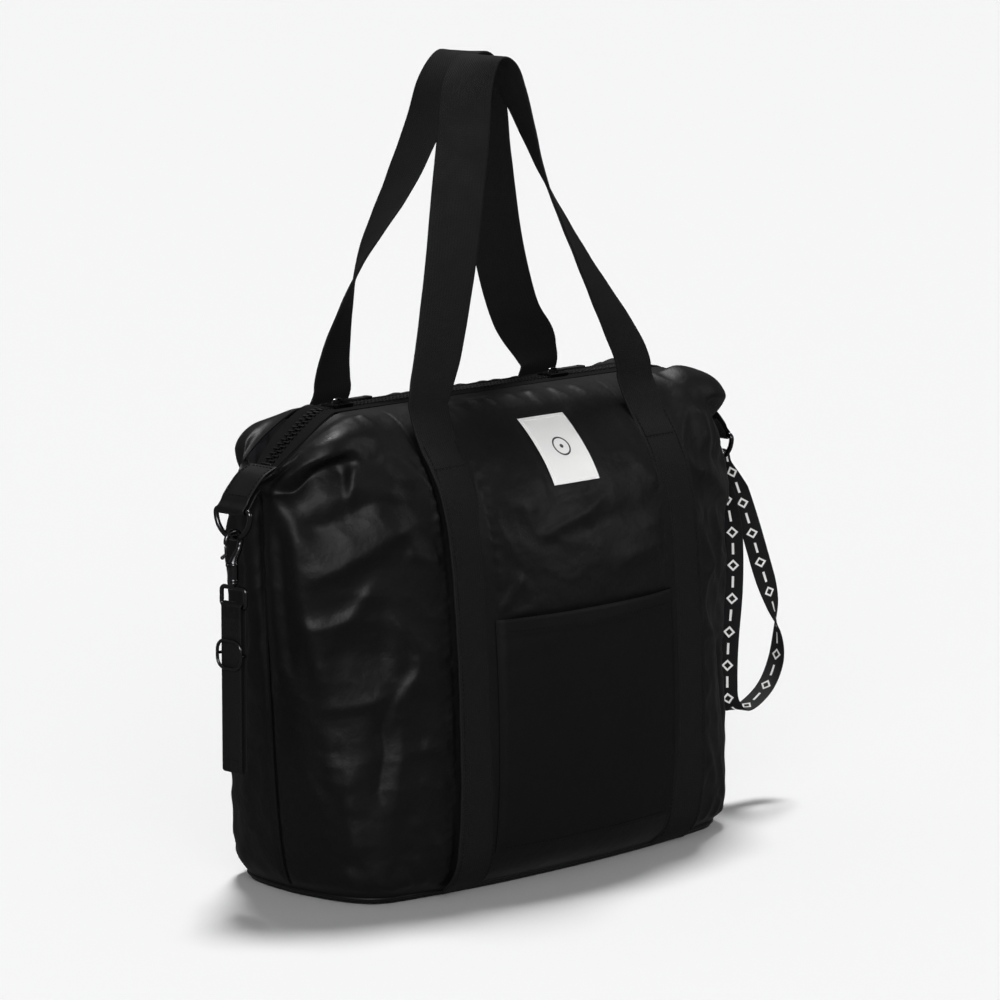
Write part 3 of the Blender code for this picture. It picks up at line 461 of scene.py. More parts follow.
FRONT_FOLDS = (
    (((-52, 254), (-25, 261), (0, 266.5), (16, 275), (29, 287)), 2.6, 3.2, 7.5, 1.3),
    (((-32, 280), (0, 280), (26, 282)), -2.2, 3.5, 5, 1.7),
    (((22, 225), (55, 231), (89, 236)), 2.9, 12, 6, 1.5),
    (((-89, 205), (-80, 216), (-66, 231)), 2.8, 3, 4.6, 1.3),
    (((-88, 197), (-75, 202.5), (-56, 205)), 1.5, 2.5, 3, 1.3),
    (((-66, 250), (0, 256), (84, 263)), -1.7, 10, 9, 2.0),
    (((-84, 286), (-62, 281), (-46, 270)), 1.5, 7, 6, 1.6),
    (((60, 300), (75, 290), (88, 272)), 1.9, 7, 6, 1.5),
    (((84, 246), (70, 250), (58, 249)), 1.4, 4, 4, 1.3),
    (((142, 333), (160, 322), (172, 305), (176, 284)), 3.4, 9, 7, 1.5),
    (((132, 292), (146, 280), (164, 276)), 2.6, 6, 5, 1.4),
    (((134, 250), (146, 243), (160, 244)), 2.4, 4, 4, 1.3),
    (((150, 236), (166, 214), (172, 186)), 2.8, 6, 8, 1.4),
    (((186, 252), (192, 222), (190, 190), (180, 166)), 3.2, 5, 8, 1.4),
    (((136, 170), (152, 158), (170, 154)), 1.8, 6, 5, 1.5),
    (((140, 84), (156, 60), (166, 34)), 1.8, 6, 6, 1.5),
    (((-60, 24), (-20, 20), (30, 24)), 1.3, 6, 5, 1.8),
)
BACK_FOLDS = (
    (((-86, 262), (-40, 250), (10, 254), (60, 270)), 2.8, 5, 8, 1.4),
    (((-60, 226), (-20, 214), (40, 218), (88, 208)), 2.4, 6, 5, 1.4),
    (((-84, 300), (-60, 288), (-44, 268)), 2.0, 7, 6, 1.5),
    (((84, 302), (66, 290), (40, 288)), 2.2, 6, 6, 1.5),
    (((-80, 160), (-30, 150), (20, 158)), 2.2, 8, 6, 1.6),
    (((86, 150), (50, 136), (12, 128)), 2.0, 6, 7, 1.5),
    (((-88, 108), (-50, 92), (-16, 94)), 1.8, 6, 7, 1.5),
    (((88, 78), (56, 62), (20, 58)), 1.8, 6, 6, 1.5),
    (((-50, 50), (-10, 36), (30, 32)), 1.6, 6, 6, 1.6),
)
FOLD_SOFTENING = 2
FOLD_REACH = 2.4  # how far a fold is felt, in widths
FOLD_FADE = 0.22  # share of a fold's length over which each of its ends fades
WING_Z = 285  # folds that start above this height are the wing's
# The right end's wing stands fuller than the left one.
RIGHT_WING = (((150, 345), (178, 341), (204, 329), (228, 312), (246, 292)), 5.5, 14, 30, 1.8)
# Short tucks where the fabric is gathered on to the zip tape: start a, end a, end z.
TOP_TUCKS = ((-66, -52, 334), (-46, -30, 337), (-30, -21, 332), (-8, 17, 327), (12, 27, 338), (36, 66, 322),
             (58, 77, 334), (-160, -146, 333), (146, 160, 331), (134, 140, 334))


def near(line, reach, a, z):
    """Which points of the panel lie in the box round a line."""
    low, high = line.min(0) - reach, line.max(0) + reach
    return (a > low[0]) & (a < high[0]) & (z > low[1]) & (z < high[1])


def add_fold(field, a, z, fold, scale=1.0, mirror=1, shift=(0.0, 0.0)):
    """Raises the field along one fold."""
    route, height, left, right, crisp = fold
    line = smooth_route(route, 6) * (mirror * MM, MM) + shift
    if mirror < 0:
        left, right = right, left
    left, right = left * MM, right * MM
    window = near(line, FOLD_REACH * max(left, right), a, z)
    pa, pz = a[window], z[window]
    nearest, side, share = np.full(pa.shape, np.inf), np.zeros(pa.shape), np.zeros(pa.shape)
    starts = run_length(line)
    for k, span in enumerate(np.diff(starts)):
        da, dz = (line[k + 1] - line[k]) / span
        t = np.clip((pa - line[k, 0]) * da + (pz - line[k, 1]) * dz, 0.0, span)
        ra, rz = pa - line[k, 0] - t * da, pz - line[k, 1] - t * dz
        distance = ra * ra + rz * rz
        closer = distance < nearest
        nearest = np.where(closer, distance, nearest)
        side = np.where(closer, da * rz - dz * ra, side)
        share = np.where(closer, (starts[k] + t) / starts[-1], share)
    width = np.where(side > 0, left, right)
    shape = np.exp(-(np.sqrt(nearest) / width) ** crisp)
    fade = soft_step(share, 0.0, FOLD_FADE) * soft_step(1 - share, 0.0, FOLD_FADE)
    field[window] += height * MM * scale * shape * fade


EDGE_FADE = 7.0 * MM
SEAM_DIP = 1.4 * MM
SEAM_DIP_WIDTH = 2.2 * MM
TOP_FADE = (0.955, 0.985)  # shares of the panel's rows


def strap_distance(a):
    """Metres from the nearest strap's edge; negative under the strap."""
    return np.abs(np.abs(a) - STRAP_X) - STRAP_HALF


# How strongly the fabric gathers along each strap edge (its a in millimetres): all the way up,
# and how much more near the top.
FRONT_GATHERS = {-129: (0.85, 0.15), -91: (0.35, 0.75), 91: (0.30, 0.15), 129: (0.25, 0.30)}
BACK_GATHERS = (0.55, 0.35)
PUCKER_LOW = 16.0
PUCKER_HIGH = 326.0
PUCKER_WIDTHS = (1.7, 2.6)
PUCKER_CRISP = 1.3


def pucker_weight(face, edge, z):
    """How strongly the fabric gathers along one edge of one strap, by height in metres."""
    strong = soft_step(z, 0.22, 0.25) * (1 - soft_step(z, 0.305, 0.33))
    steady, more = FRONT_GATHERS[edge] if face < 0 else BACK_GATHERS
    return steady + more * strong


def add_puckers(field, a, z, face):
    """Short slanting tucks along every strap's edges."""
    dice = np.random.RandomState(31 + face)
    for edge in FRONT_GATHERS:
        away = 1 if edge in (-91, 129) else -1  # each tuck points away from its strap
        height = PUCKER_LOW
        while height < PUCKER_HIGH:
            length = dice.uniform(6.0, 15.0)
            fall = dice.uniform(0.1, 0.75) * length
            start = (edge - 1.0 * away, height)
            middle = (edge + away * length * 0.5, height - fall * 0.35)
            end = (edge + away * length, height - fall)
            weight = float(pucker_weight(face, edge, height * MM))
            lift = dice.uniform(0.9, 1.6) * weight
            add_tuck(field, a, z, ((start, middle, end), lift, *PUCKER_WIDTHS[::away], PUCKER_CRISP))
            height += dice.uniform(5.5, 11.0)


def add_tuck(field, a, z, fold):
    """A fold that is full at its start, where it is sewn, and fades along its length."""
    route, height, left, right, crisp = fold
    line = smooth_route(route, 3) * MM
    window = near(line, FOLD_REACH * max(left, right) * MM, a, z)
    pa, pz = a[window], z[window]
    ahead = line[-1] - line[0]
    span = np.linalg.norm(ahead)
    ahead = ahead / span
    t = (pa - line[0, 0]) * ahead[0] + (pz - line[0, 1]) * ahead[1]
    off = ahead[0] * (pz - line[0, 1]) - ahead[1] * (pa - line[0, 0])
    width = np.where(off > 0, left, right) * MM * (1 + 0.8 * np.clip(t / span, 0, 1))
    shape = np.exp(-(np.abs(off) / width) ** crisp)
    fade = soft_step(t, -1.0 * MM, 1.5 * MM) * soft_step(span - t, 0.0, span)
    field[window] += height * MM * shape * fade


def relief(face, a, z):
    """How far the fabric stands proud of the plain surface."""
    field = np.zeros(a.shape)
    dice = np.random.RandomState(5 + face)
    for fold in END_FOLDS:
        wing = fold[0][0][1] > WING_Z  # the same at all four corners
        for side in (-1, 1):
            as_drawn = wing or (face < 0 and side < 0)
            scale = 1.0 if as_drawn else dice.uniform(0.55, 0.95)
            shift = (0.0, 0.0) if as_drawn else tuple(dice.uniform(-6, 6, 2) * MM)
            add_fold(field, a, z, fold, scale, -side, shift)
    for fold in (FRONT_FOLDS if face < 0 else BACK_FOLDS) + (RIGHT_WING,):
        add_fold(field, a, z, fold)
    blur(field, FOLD_SOFTENING)
    blur(field.T, FOLD_SOFTENING)
    for start, end, low in TOP_TUCKS:
        add_tuck(field, a, z, (((start * -face, 348), (end * -face, low)), 1.3, 1.8, 2.6, 1.3))
    # loose fabric is uneven at three sizes, more so at the ends and above the pocket
    wide = noise(a / 0.060, z / 0.045, 3 + face)
    ridged = 1 - 2 * np.abs(noise(a / 0.030 + z / 0.08, z / 0.024, 11 + face, 2))
    fine = noise(a / 0.011, z / 0.008, 23 + face, 2)
    lively = 0.35 + 0.65 * soft_step(np.abs(a), 0.10, 0.15)
    lively += 0.45 * soft_step(z, 0.20, 0.24) * (np.abs(a) < 0.1)
    field += (1.6 * wide + 0.75 * ridged + 0.16 * fine) * MM * lively
    # it swells beside the straps, gathers along them and lies flat under them
    beside = strap_distance(a)
    field += 1.5 * MM * (1 - np.exp(-np.maximum(beside, 0) / 0.012)) - 0.6 * MM
    add_puckers(field, a, z, face)
    field *= soft_step(beside, -0.5 * MM, 2.2 * MM)
    if face < 0:
        # and it is held flatter behind the pocket and the label
        pocket = (1 - soft_step(np.abs(a), 0.084, 0.092)) * (1 - soft_step(z, 0.196, 0.205))
        label = (1 - soft_step(np.abs(a), 0.026, 0.036)) * soft_step(z, 0.274, 0.286)
        label *= 1 - soft_step(z, 0.333, 0.340)
        field *= (1 - 0.85 * pocket) * (1 - 0.8 * label)
    field *= soft_step(z, 0.006, 0.016) * (1 - 0.9 * soft_step(z, 0.3455, 0.3488))
    return field


def panel_relief(face, a, z):
    """The relief, faded out at the side seams and where the panel meets the zip's ends."""
    edge = np.minimum(a - a[:, :1], a[:, -1:] - a)
    field = relief(face, a, z) * soft_step(edge, 0.0, EDGE_FADE)
    field -= SEAM_DIP * np.exp(-(edge / SEAM_DIP_WIDTH) ** 2) * soft_step(z, 0.004, 0.02)
    rows = np.linspace(0.0, 1.0, a.shape[0])[:, None]
    return field * (1 - soft_step(rows, *TOP_FADE))


def lowest_nearby(field, reach):
    """The field's lower envelope over a few cells each way."""
    low = field.copy()
    for axis in (0, 1):
        source = low.copy()
        for step in range(1, reach + 1):
            ahead = np.roll(source, step, axis)
            behind = np.roll(source, -step, axis)
            low = np.minimum(low, np.minimum(ahead, behind))
    return low


PLAIN = {face: panel_frame(face, PANEL_ROWS, PANEL_COLUMNS) for _, face in FACES}
RELIEF = {face: panel_relief(face, *PLAIN[face][2:]) for _, face in FACES}

# ---------------- materials


NOISE_LOW, NOISE_HIGH = 0.3, 0.7  # nearly all of a noise texture lies between these
SATIN_PITCH = 0.9 * MM
MOTIF_PITCH = 26.0 * MM
LOZENGE_OUTER = 4.6 * MM
LOZENGE_INNER = 2.6 * MM
BAR_START = 8.6 * MM
BAR_HALF_WIDTH = 0.9 * MM
LABEL_RING = 7.5 * MM
LABEL_RING_HALF_WIDTH = 0.7 * MM
LABEL_DOT = 1.7 * MM


def node(tree, kind, inputs=None, **settings):
    """A shader node; an input is a value or another node's output."""
    made = tree.nodes.new(kind)
    for key, value in settings.items():
        setattr(made, key, value)
    for key, value in (inputs or {}).items():
        if isinstance(value, bpy.types.NodeSocket):
            tree.links.new(value, made.inputs[key])
        else:
            made.inputs[key].default_value = value
    return made


def arithmetic(tree, operation, first, second=0.0, third=0.0):
    """The output of a maths node; each operand is a number or another node's output."""
    made = node(tree, "ShaderNodeMath", {0: first, 1: second, 2: third}, operation=operation)
    return made.outputs[0]


def new_material(name, colour, roughness, metallic=0.0, specular=0.5):
    material = bpy.data.materials.new(name)
    material.use_nodes = True
    tree = material.node_tree
    shader = tree.nodes["Principled BSDF"]
    shader.inputs["Base Color"].default_value = (*colour, 1.0)
    shader.inputs["Roughness"].default_value = roughness
    shader.inputs["Metallic"].default_value = metallic
    shader.inputs["Specular IOR Level"].default_value = specular
    return material, tree, shader


def cloth_places(tree):
    """Metres across and along the cloth."""
    metres = node(tree, "ShaderNodeUVMap", uv_map="metres").outputs[0]
    split = node(tree, "ShaderNodeSeparateXYZ", {0: metres})
    return split.outputs[0], split.outputs[1]


def ripple(tree, place, pitch):
    """A wave from -1 to 1 along one direction, with the given pitch in metres."""
    return arithmetic(tree, "SINE", arithmetic(tree, "MULTIPLY", place, TURN / pitch))


def cloud(tree, scale, detail=2.0):
    """Noise in object space; scale counts features per metre."""
    place = node(tree, "ShaderNodeTexCoord").outputs["Object"]
    return node(tree, "ShaderNodeTexNoise", {"Vector": place, "Scale": scale, "Detail": detail}).outputs[0]


def raise_by(tree, shader, height, distance):
    bump = node(tree, "ShaderNodeBump", {"Height": height, "Distance": distance, "Strength": 1.0})
    tree.links.new(bump.outputs[0], shader.inputs["Normal"])


def vary(tree, shader, socket, source, low, high):
    """Drives one of the shader's sockets from noise, between two values."""
    mapped = node(tree, "ShaderNodeMapRange", {0: source, 1: NOISE_LOW, 2: NOISE_HIGH, 3: low, 4: high})
    tree.links.new(mapped.outputs[0], shader.inputs[socket])


def satin(name, colour, roughness, crease, specular):
    """Satin-faced nylon: a fine diagonal weave and small creases too small to model."""
    material, tree, shader = new_material(name, colour, sum(roughness) / 2, specular=specular)
    across, along = cloth_places(tree)
    weave = ripple(tree, arithmetic(tree, "ADD", across, along), SATIN_PITCH)
    small = arithmetic(tree, "MULTIPLY", weave, 0.02)
    raise_by(tree, shader, arithmetic(tree, "ADD", cloud(tree, 130.0, 3.0), small), crease)
    vary(tree, shader, "Roughness", cloud(tree, 26.0), *roughness)
    return material


def woven(name, colour, rib, pick, distance, roughness=0.7, specular=0.15):
    """Webbing or tape: ribs along its length, crossed by picks that alternate from rib to rib."""
    material, tree, shader = new_material(name, colour, roughness, specular=specular)
    across, along = cloth_places(tree)
    ribs = ripple(tree, across, rib)
    picks = ripple(tree, along, pick)
    height = arithmetic(tree, "MULTIPLY_ADD", arithmetic(tree, "MULTIPLY", ribs, picks), 0.5,
                        arithmetic(tree, "MULTIPLY", ribs, 0.35))
    raise_by(tree, shader, height, distance)
    vary(tree, shader, "Roughness", cloud(tree, 60.0), roughness - 0.06, roughness + 0.06)
    return material


def metal(name, colour, roughness):
    """Plated metal with a faint unevenness."""
    material, tree, shader = new_material(name, colour, roughness, metallic=1.0)
    vary(tree, shader, "Roughness", cloud(tree, 300.0), roughness - 0.04, roughness + 0.06)
    raise_by(tree, shader, cloud(tree, 700.0), 0.00002)
    return material


def grained(name, colour, roughness, scale, distance, specular=0.4):
    """Faux leather, board or plain cloth: irregular small grain."""
    material, tree, shader = new_material(name, colour, roughness, specular=specular)
    raise_by(tree, shader, cloud(tree, scale, 4.0), distance)
    vary(tree, shader, "Roughness", cloud(tree, scale / 8), roughness - 0.05, roughness + 0.05)
    return material


def link_mix(tree, shader, factor, ground, mark):
    """Colours the shader with ground where factor is 0 and mark where it is 1."""
    mix = node(tree, "ShaderNodeMix", data_type="RGBA")
    tree.links.new(factor, mix.inputs[0])
    mix.inputs[6].default_value = (*ground, 1.0)
    mix.inputs[7].default_value = (*mark, 1.0)
    tree.links.new(mix.outputs[2], shader.inputs["Base Color"])


def lanyard_material():
    """Black tape with a plain woven motif: a row of lozenges and short bars down its middle."""
    black, white = (0.006, 0.006, 0.007), (0.72, 0.72, 0.70)
    material, tree, shader = new_material("lanyard_tape", black, 0.62, specular=0.3)
    calc = partial(arithmetic, tree)
    across, along = cloth_places(tree)
    aside = calc("ABSOLUTE", across)
    step = calc("ABSOLUTE", calc("WRAP", along, MOTIF_PITCH / 2, -MOTIF_PITCH / 2))
    reach = calc("ADD", aside, step)
    lozenge = calc("LESS_THAN", reach, LOZENGE_OUTER)
    hollow = calc("GREATER_THAN", reach, LOZENGE_INNER)
    bar = calc("MULTIPLY", calc("GREATER_THAN", step, BAR_START), calc("LESS_THAN", aside, BAR_HALF_WIDTH))
    mark = calc("MAXIMUM", calc("MULTIPLY", lozenge, hollow), bar)
    link_mix(tree, shader, mark, black, white)
    ribs = calc("MULTIPLY", ripple(tree, across, 0.0009), ripple(tree, along, 0.0011))
    raise_by(tree, shader, calc("MULTIPLY_ADD", mark, 0.4, ribs), 0.00012)
    return material


def label_material():
    """White damask label with a plain ring and a dot in the middle."""
    white, grey = (0.90, 0.90, 0.89), (0.05, 0.05, 0.055)
    material, tree, shader = new_material("label", white, 0.75, specular=0.3)
    calc = partial(arithmetic, tree)
    across, along = cloth_places(tree)
    squares = [calc("MULTIPLY", place, place) for place in (across, along)]
    radius = calc("SQRT", calc("ADD", *squares))
    off_ring = calc("ABSOLUTE", calc("SUBTRACT", radius, LABEL_RING))
    ring = calc("LESS_THAN", off_ring, LABEL_RING_HALF_WIDTH)
    dot = calc("LESS_THAN", radius, LABEL_DOT)
    link_mix(tree, shader, calc("MAXIMUM", ring, dot), white, grey)
    weave = calc("MULTIPLY", ripple(tree, across, 0.0008), ripple(tree, along, 0.0008))
    raise_by(tree, shader, weave, 0.00008)
    return material


NYLON = satin("satin_nylon", (0.0030, 0.0030, 0.0034), (0.42, 0.52), 0.00045, 0.22)
FLAT_NYLON = satin("pocket_nylon", (0.0036, 0.0036, 0.0040), (0.50, 0.60), 0.00020, 0.15)
WEBBING = woven("webbing", (0.0058, 0.0058, 0.0063), 0.0021, 0.0018, 0.00018)
ZIP_TAPE = woven("zip_tape", (0.0046, 0.0046, 0.0050), 0.0012, 0.0010, 0.00018, 0.78, 0.08)
GUNMETAL = metal("dark_metal", (0.075, 0.075, 0.080), 0.22)
TEETH = metal("zip_teeth", (0.060, 0.060, 0.063), 0.32)
LEATHER = grained("faux_leather", (0.0045, 0.0045, 0.0050), 0.46, 900.0, 0.00012, 0.2)
THREAD = grained("thread", (0.0040, 0.0040, 0.0044), 0.6, 1500.0, 0.00005, 0.12)
LINING = woven("lining", (0.028, 0.028, 0.031), 0.0010, 0.0010, 0.00010)
BOARD = grained("board", (0.05, 0.05, 0.052), 0.85, 400.0, 0.0002)
LANYARD = lanyard_material()
LABEL = label_material()

# ---------------- body: panels, lining, base


LINING_STRIDE = 3
LINING_INSET = 1.5 * MM
LINING_THICKNESS = 0.5 * MM
LINING_TOP = 0.334
LINING_SEAM_GAP = SEAM_GAP + 0.3 * MM
INNER_POCKET_INSET = 2.6 * MM
INNER_POCKET_LOW = 0.050
INNER_POCKET_HIGH = 0.192
INNER_POCKET_REACH = 0.120
INNER_POCKET_THICKNESS = 0.9 * MM
INNER_HEM_THICKNESS = 0.7 * MM
INNER_HEM_EDGE = (0.176, 0.178)


def sew(name, rows, body="bag"):
    """One piece of thread from rows of stitches."""
    vertices, faces = join_parts(rows)
    make_object(name, vertices, faces, THREAD, body)


def keep_side(points, face, gap):
    """Holds a grid on its own side of the plane of the side seams."""
    points[..., 1] = face * np.maximum(points[..., 1] * face, gap)
    return points


def build_panel(name, face):
    """The outer cloth of the front or the back, with its folds."""
    points, normals, a, z = PLAIN[face]
    moved = keep_side(points + normals * RELIEF[face][..., None], face, SEAM_GAP)
    inner = keep_side(moved - normals * PANEL_THICKNESS, face, SEAM_GAP)
    vertices, faces = sheet_solid(moved, inner)
    uv = both_sides(a, z)
    panel = make_object(name + "_panel_cloth", vertices, faces, NYLON, "bag", uv)
    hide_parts(name + "_panel")


def lining_grid(face, sink):
    """A coarser grid inside the panel, below all of its creases, with each point's (a, z)."""
    coarse = (slice(None, None, LINING_STRIDE),) * 2
    points, normals, a, z = (grid[coarse] for grid in PLAIN[face])
    low = lowest_nearby(RELIEF[face], LINING_STRIDE + 2)[coarse]
    low[:, [0, -1]] = 0.0
    inside = points + normals * (np.minimum(low, 0.0) - sink)[..., None]
    return keep_side(inside, face, LINING_SEAM_GAP), normals, a, z


def build_lining(name, face):
    """The lining inside one panel, up to just below the zip."""
    inside, normals, a, z = lining_grid(face, LINING_INSET)
    rows = z.mean(axis=1) < LINING_TOP
    inside, normals, a, z = (grid[rows] for grid in (inside, normals, a, z))
    vertices, faces = sheet_solid(inside, inside - normals * LINING_THICKNESS)
    uv = both_sides(a, z)
    lining = make_object(name + "_lining_cloth", vertices, faces, LINING, "bag", uv)
    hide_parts(name + "_lining")


def on_face(face, x, z):
    """y of the plain broad face at x and z, between the straps' outer edges."""
    v = np.linspace(0.0, len(LEVELS) - 1.0, 400)
    level = levels_at(v)
    mid_depth, corner_x, corner_depth = (np.interp(z, level[:, 1], level[:, k]) for k in (0, 2, 3))
    return face * (mid_depth + (corner_depth - mid_depth) * (np.abs(x) / corner_x) ** FACE_POWER)


def face_patch(face, x, z, offset):
    """Points of a patch that follows the broad face, and their outward normals."""
    x, z = np.meshgrid(x, z)
    plain = np.stack([x, on_face(face, x, z), z], -1)
    normals = unit(np.cross(np.gradient(plain, axis=1), np.gradient(plain, axis=0)) * -face)
    return plain + normals * np.asarray(offset)[..., None], normals


def build_inner_pocket():
    """An open pocket on the lining of the back, with a hem along its mouth."""
    inside, normals, a, z = lining_grid(1, INNER_POCKET_INSET)
    heights = z.mean(axis=1)
    rows = (heights > INNER_POCKET_LOW) & (heights < INNER_POCKET_HIGH)
    columns = np.abs(a).mean(axis=0) < INNER_POCKET_REACH
    inside, normals, a, z = (grid[rows][:, columns] for grid in (inside, normals, a, z))
    hem = INNER_HEM_THICKNESS * soft_step(z, *INNER_HEM_EDGE)[..., None]
    vertices, faces = sheet_solid(inside, inside - normals * (INNER_POCKET_THICKNESS + hem))
    uv = both_sides(a, z)
    pocket = make_object("inner_pocket_cloth", vertices, faces, LINING, "bag", uv)
    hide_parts("inner_pocket")


# (inset, height) up the base's rounded rim
BASE_PROFILE = ((0.0030, 0.0004), (0.0010, 0.0009), (0.0003, 0.0020), (0.0003, 0.0034), (0.0014, 0.0042))
PIPING_RADIUS = 1.5 * MM
PIPING_Z = 0.0046
SIDE_SEAM_RADIUS = 0.8 * MM


def base_outline():
    """The panels' lowest contour, as one even loop."""
    front, back = (PLAIN[face][0][0] for face in (-1, 1))
    outline = np.concatenate([front[:-1], back[::-1][:-1]])
    outline[:, 2] = 0.0
    return evenly(np.concatenate([outline, outline[:1]]), 361)[:-1]


def build_base():
    """The bottom panel with a rounded rim, and the piping in the seam above it."""
    outline = base_outline()
    outward = unit(np.cross(tangents(outline, True), (0.0, 0.0, 1.0)))
    outward *= np.sign((outward * outline).sum())
    rings = [outline - outward * inset + (0.0, 0.0, height) for inset, height in BASE_PROFILE]
    faces = loft_faces(len(rings), len(outline))
    vertices = np.concatenate(rings)
    base = make_object("base_cloth", vertices, faces, NYLON, "bag", vertices[:, :2])
    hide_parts("base_panel")
    path = outline + outward * 0.0002 + (0.0, 0.0, PIPING_Z)
    vertices, faces = tube_mesh(path, PIPING_RADIUS, 10, closed=True)
    make_object("base_piping", vertices, faces, NYLON, "bag", vertices[:, :2])


def build_side_seams():
    """The seam that joins the panels at each end, from the base to the zip."""
    for name, column in (("left", 0), ("right", -1)):
        path = PLAIN[-1][0][4:-6:2, column].copy()
        path[:, 1] = 0.0
        vertices, faces = tube_mesh(path, SIDE_SEAM_RADIUS, 8)
        make_object("side_seam_" + name, vertices, faces, NYLON, "bag", vertices[:, [1, 2]])


# ---------------- webbing and handles

HANDLE_FOOT_Y = 0.0512
HANDLE_FOOT_Z = 0.3385
HANDLE_TOP_Y = 0.0203
HANDLE_TOP = 0.5950
BAND_WIDTH = 0.038
BAND_THICKNESS = 0.0022
BAND_OFFSET = 0.0018
BAND_SPACING = 0.0028
STRAP_LOW = 0.0046
STRAP_HIGH = 0.3300
STRAP_POINTS = 90
HANDLE_POINTS = 170
CURL = 0.25 * MM  # how far the webbing's edges curl along the handles, and how far it ripples
RIPPLE = 0.12 * MM
STITCH_REACH = STRAP_HALF - 3.2 * MM
# (x, z, degrees) of each handle's middle; the webbing's width turns from +X by that angle
HANDLE_ROUTES = {
    -1: ((-0.1080, 0.3415, 0), (-0.1075, 0.3530, 2), (-0.1025, 0.3670, 6), (-0.0910, 0.3940, 15),
         (-0.0750, 0.4430, 25), (-0.0595, 0.5000, 40), (-0.0490, 0.5400, 50), (-0.0405, 0.5740, 62),
         (-0.0245, 0.5930, 80), (-0.0045, 0.5860, 95), (0.0070, 0.5620, 106), (0.0285, 0.5050, 130),
         (0.0590, 0.4460, 147), (0.0905, 0.3940, 166), (0.1050, 0.3670, 175), (0.1080, 0.3530, 179),
         (0.1080, 0.3415, 180)),
    1: ((-0.1080, 0.3415, 0), (-0.1080, 0.3530, 2), (-0.1085, 0.3680, 8), (-0.1040, 0.3950, 22),
        (-0.0880, 0.4480, 52), (-0.0560, 0.5000, 80), (-0.0370, 0.5400, 90), (-0.0240, 0.5760, 96),
        (-0.0050, 0.5930, 100), (0.0130, 0.5850, 104), (0.0240, 0.5560, 109), (0.0330, 0.5140, 117),
        (0.0520, 0.4480, 135), (0.0770, 0.3940, 155), (0.1010, 0.3670, 171), (0.1080, 0.3530, 178),
        (0.1080, 0.3415, 180)),
}


def strap_line(face, x, lift):
    """Points up one strap, a little off the plain face, and the face's normals there."""
    z = np.linspace(STRAP_LOW, STRAP_HIGH, STRAP_POINTS)
    plain = np.stack([np.full(STRAP_POINTS, x), on_face(face, x, z), z], -1)
    ahead = tangents(plain)
    normals = unit(np.cross(ahead, (1.0, 0.0, 0.0)) * face)
    return plain + normals * lift, normals


def handle_line(face):
    """Centreline and width directions of one handle; the webbing makes half a turn on its way."""
    route = smooth_route([(x, 0.0, z, turn) for x, z, turn in HANDLE_ROUTES[face]], 12)
    route = evenly(route, HANDLE_POINTS)
    lean = (route[:, 2] - HANDLE_FOOT_Z) / (HANDLE_TOP - HANDLE_FOOT_Z)
    turn = np.radians(route[:, 3])
    route[:, 1] = face * (HANDLE_FOOT_Y + (HANDLE_TOP_Y - HANDLE_FOOT_Y) * lean)
    return route[:, :3], np.stack([np.cos(turn), face * np.sin(turn), 0 * turn], -1)


def build_webbing(name, face):
    """One length of webbing: up the left of the panel, round as the handle and down the right."""
    left, _ = strap_line(face, -STRAP_X, BAND_OFFSET)
    right, _ = strap_line(face, STRAP_X, BAND_OFFSET)
    loop, turning = handle_line(face)
    path = np.concatenate([left, loop[2:-2], right[::-1]])
    flat = np.tile((1.0, 0.0, 0.0), (STRAP_POINTS, 1))
    sides = np.concatenate([flat, turning[2:-2], -flat])
    joined = np.concatenate([path, sides], axis=1)
    joined = smooth_route(joined[::3], 3)
    joined = evenly(joined, int(run_length(joined[:, :3])[-1] / BAND_SPACING))
    path, sides = joined[:, :3], joined[:, 3:]

    def ripple_lift(along, across):
        curl = CURL * math.sin(along * 61.0) * (across / (BAND_WIDTH / 2)) ** 2
        return curl + RIPPLE * np.sin(along * 210.0 + across * 90.0)

    widths = np.full(len(path), BAND_WIDTH)
    vertices, faces, uv, _ = band(path, sides, widths, BAND_THICKNESS, columns=12, ripple=ripple_lift)
    piece = make_object(name + "_webbing", vertices, faces, WEBBING, None, uv)
    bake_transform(piece)
    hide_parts(name + "_handle", name + "_strap_left", name + "_strap_right")


def build_strap_stitches(name, face):
    """Two rows down each strap and two bars across its head."""
    lines = []
    for x in (-STRAP_X, STRAP_X):
        line, normals = strap_line(face, x, BAND_OFFSET + BAND_THICKNESS / 2)
        for side in (-1, 1):
            beside = line + (side * STITCH_REACH, 0.0, 0.0)
            lines.append(stitch_row(beside[2:], normals[2:]))
        for row in (-1, -7):
            lines.append(stitch_bar(line[row], STITCH_REACH, (1.0, 0.0, 0.0), normals[row]))
    sew(name + "_strap_stitches", lines)


# ---------------- front pocket and label

POCKET_REACH = 0.0925
POCKET_LOW = 0.0300
POCKET_HIGH = 0.2000
POCKET_GAPE = 0.0042
HEM = 0.012


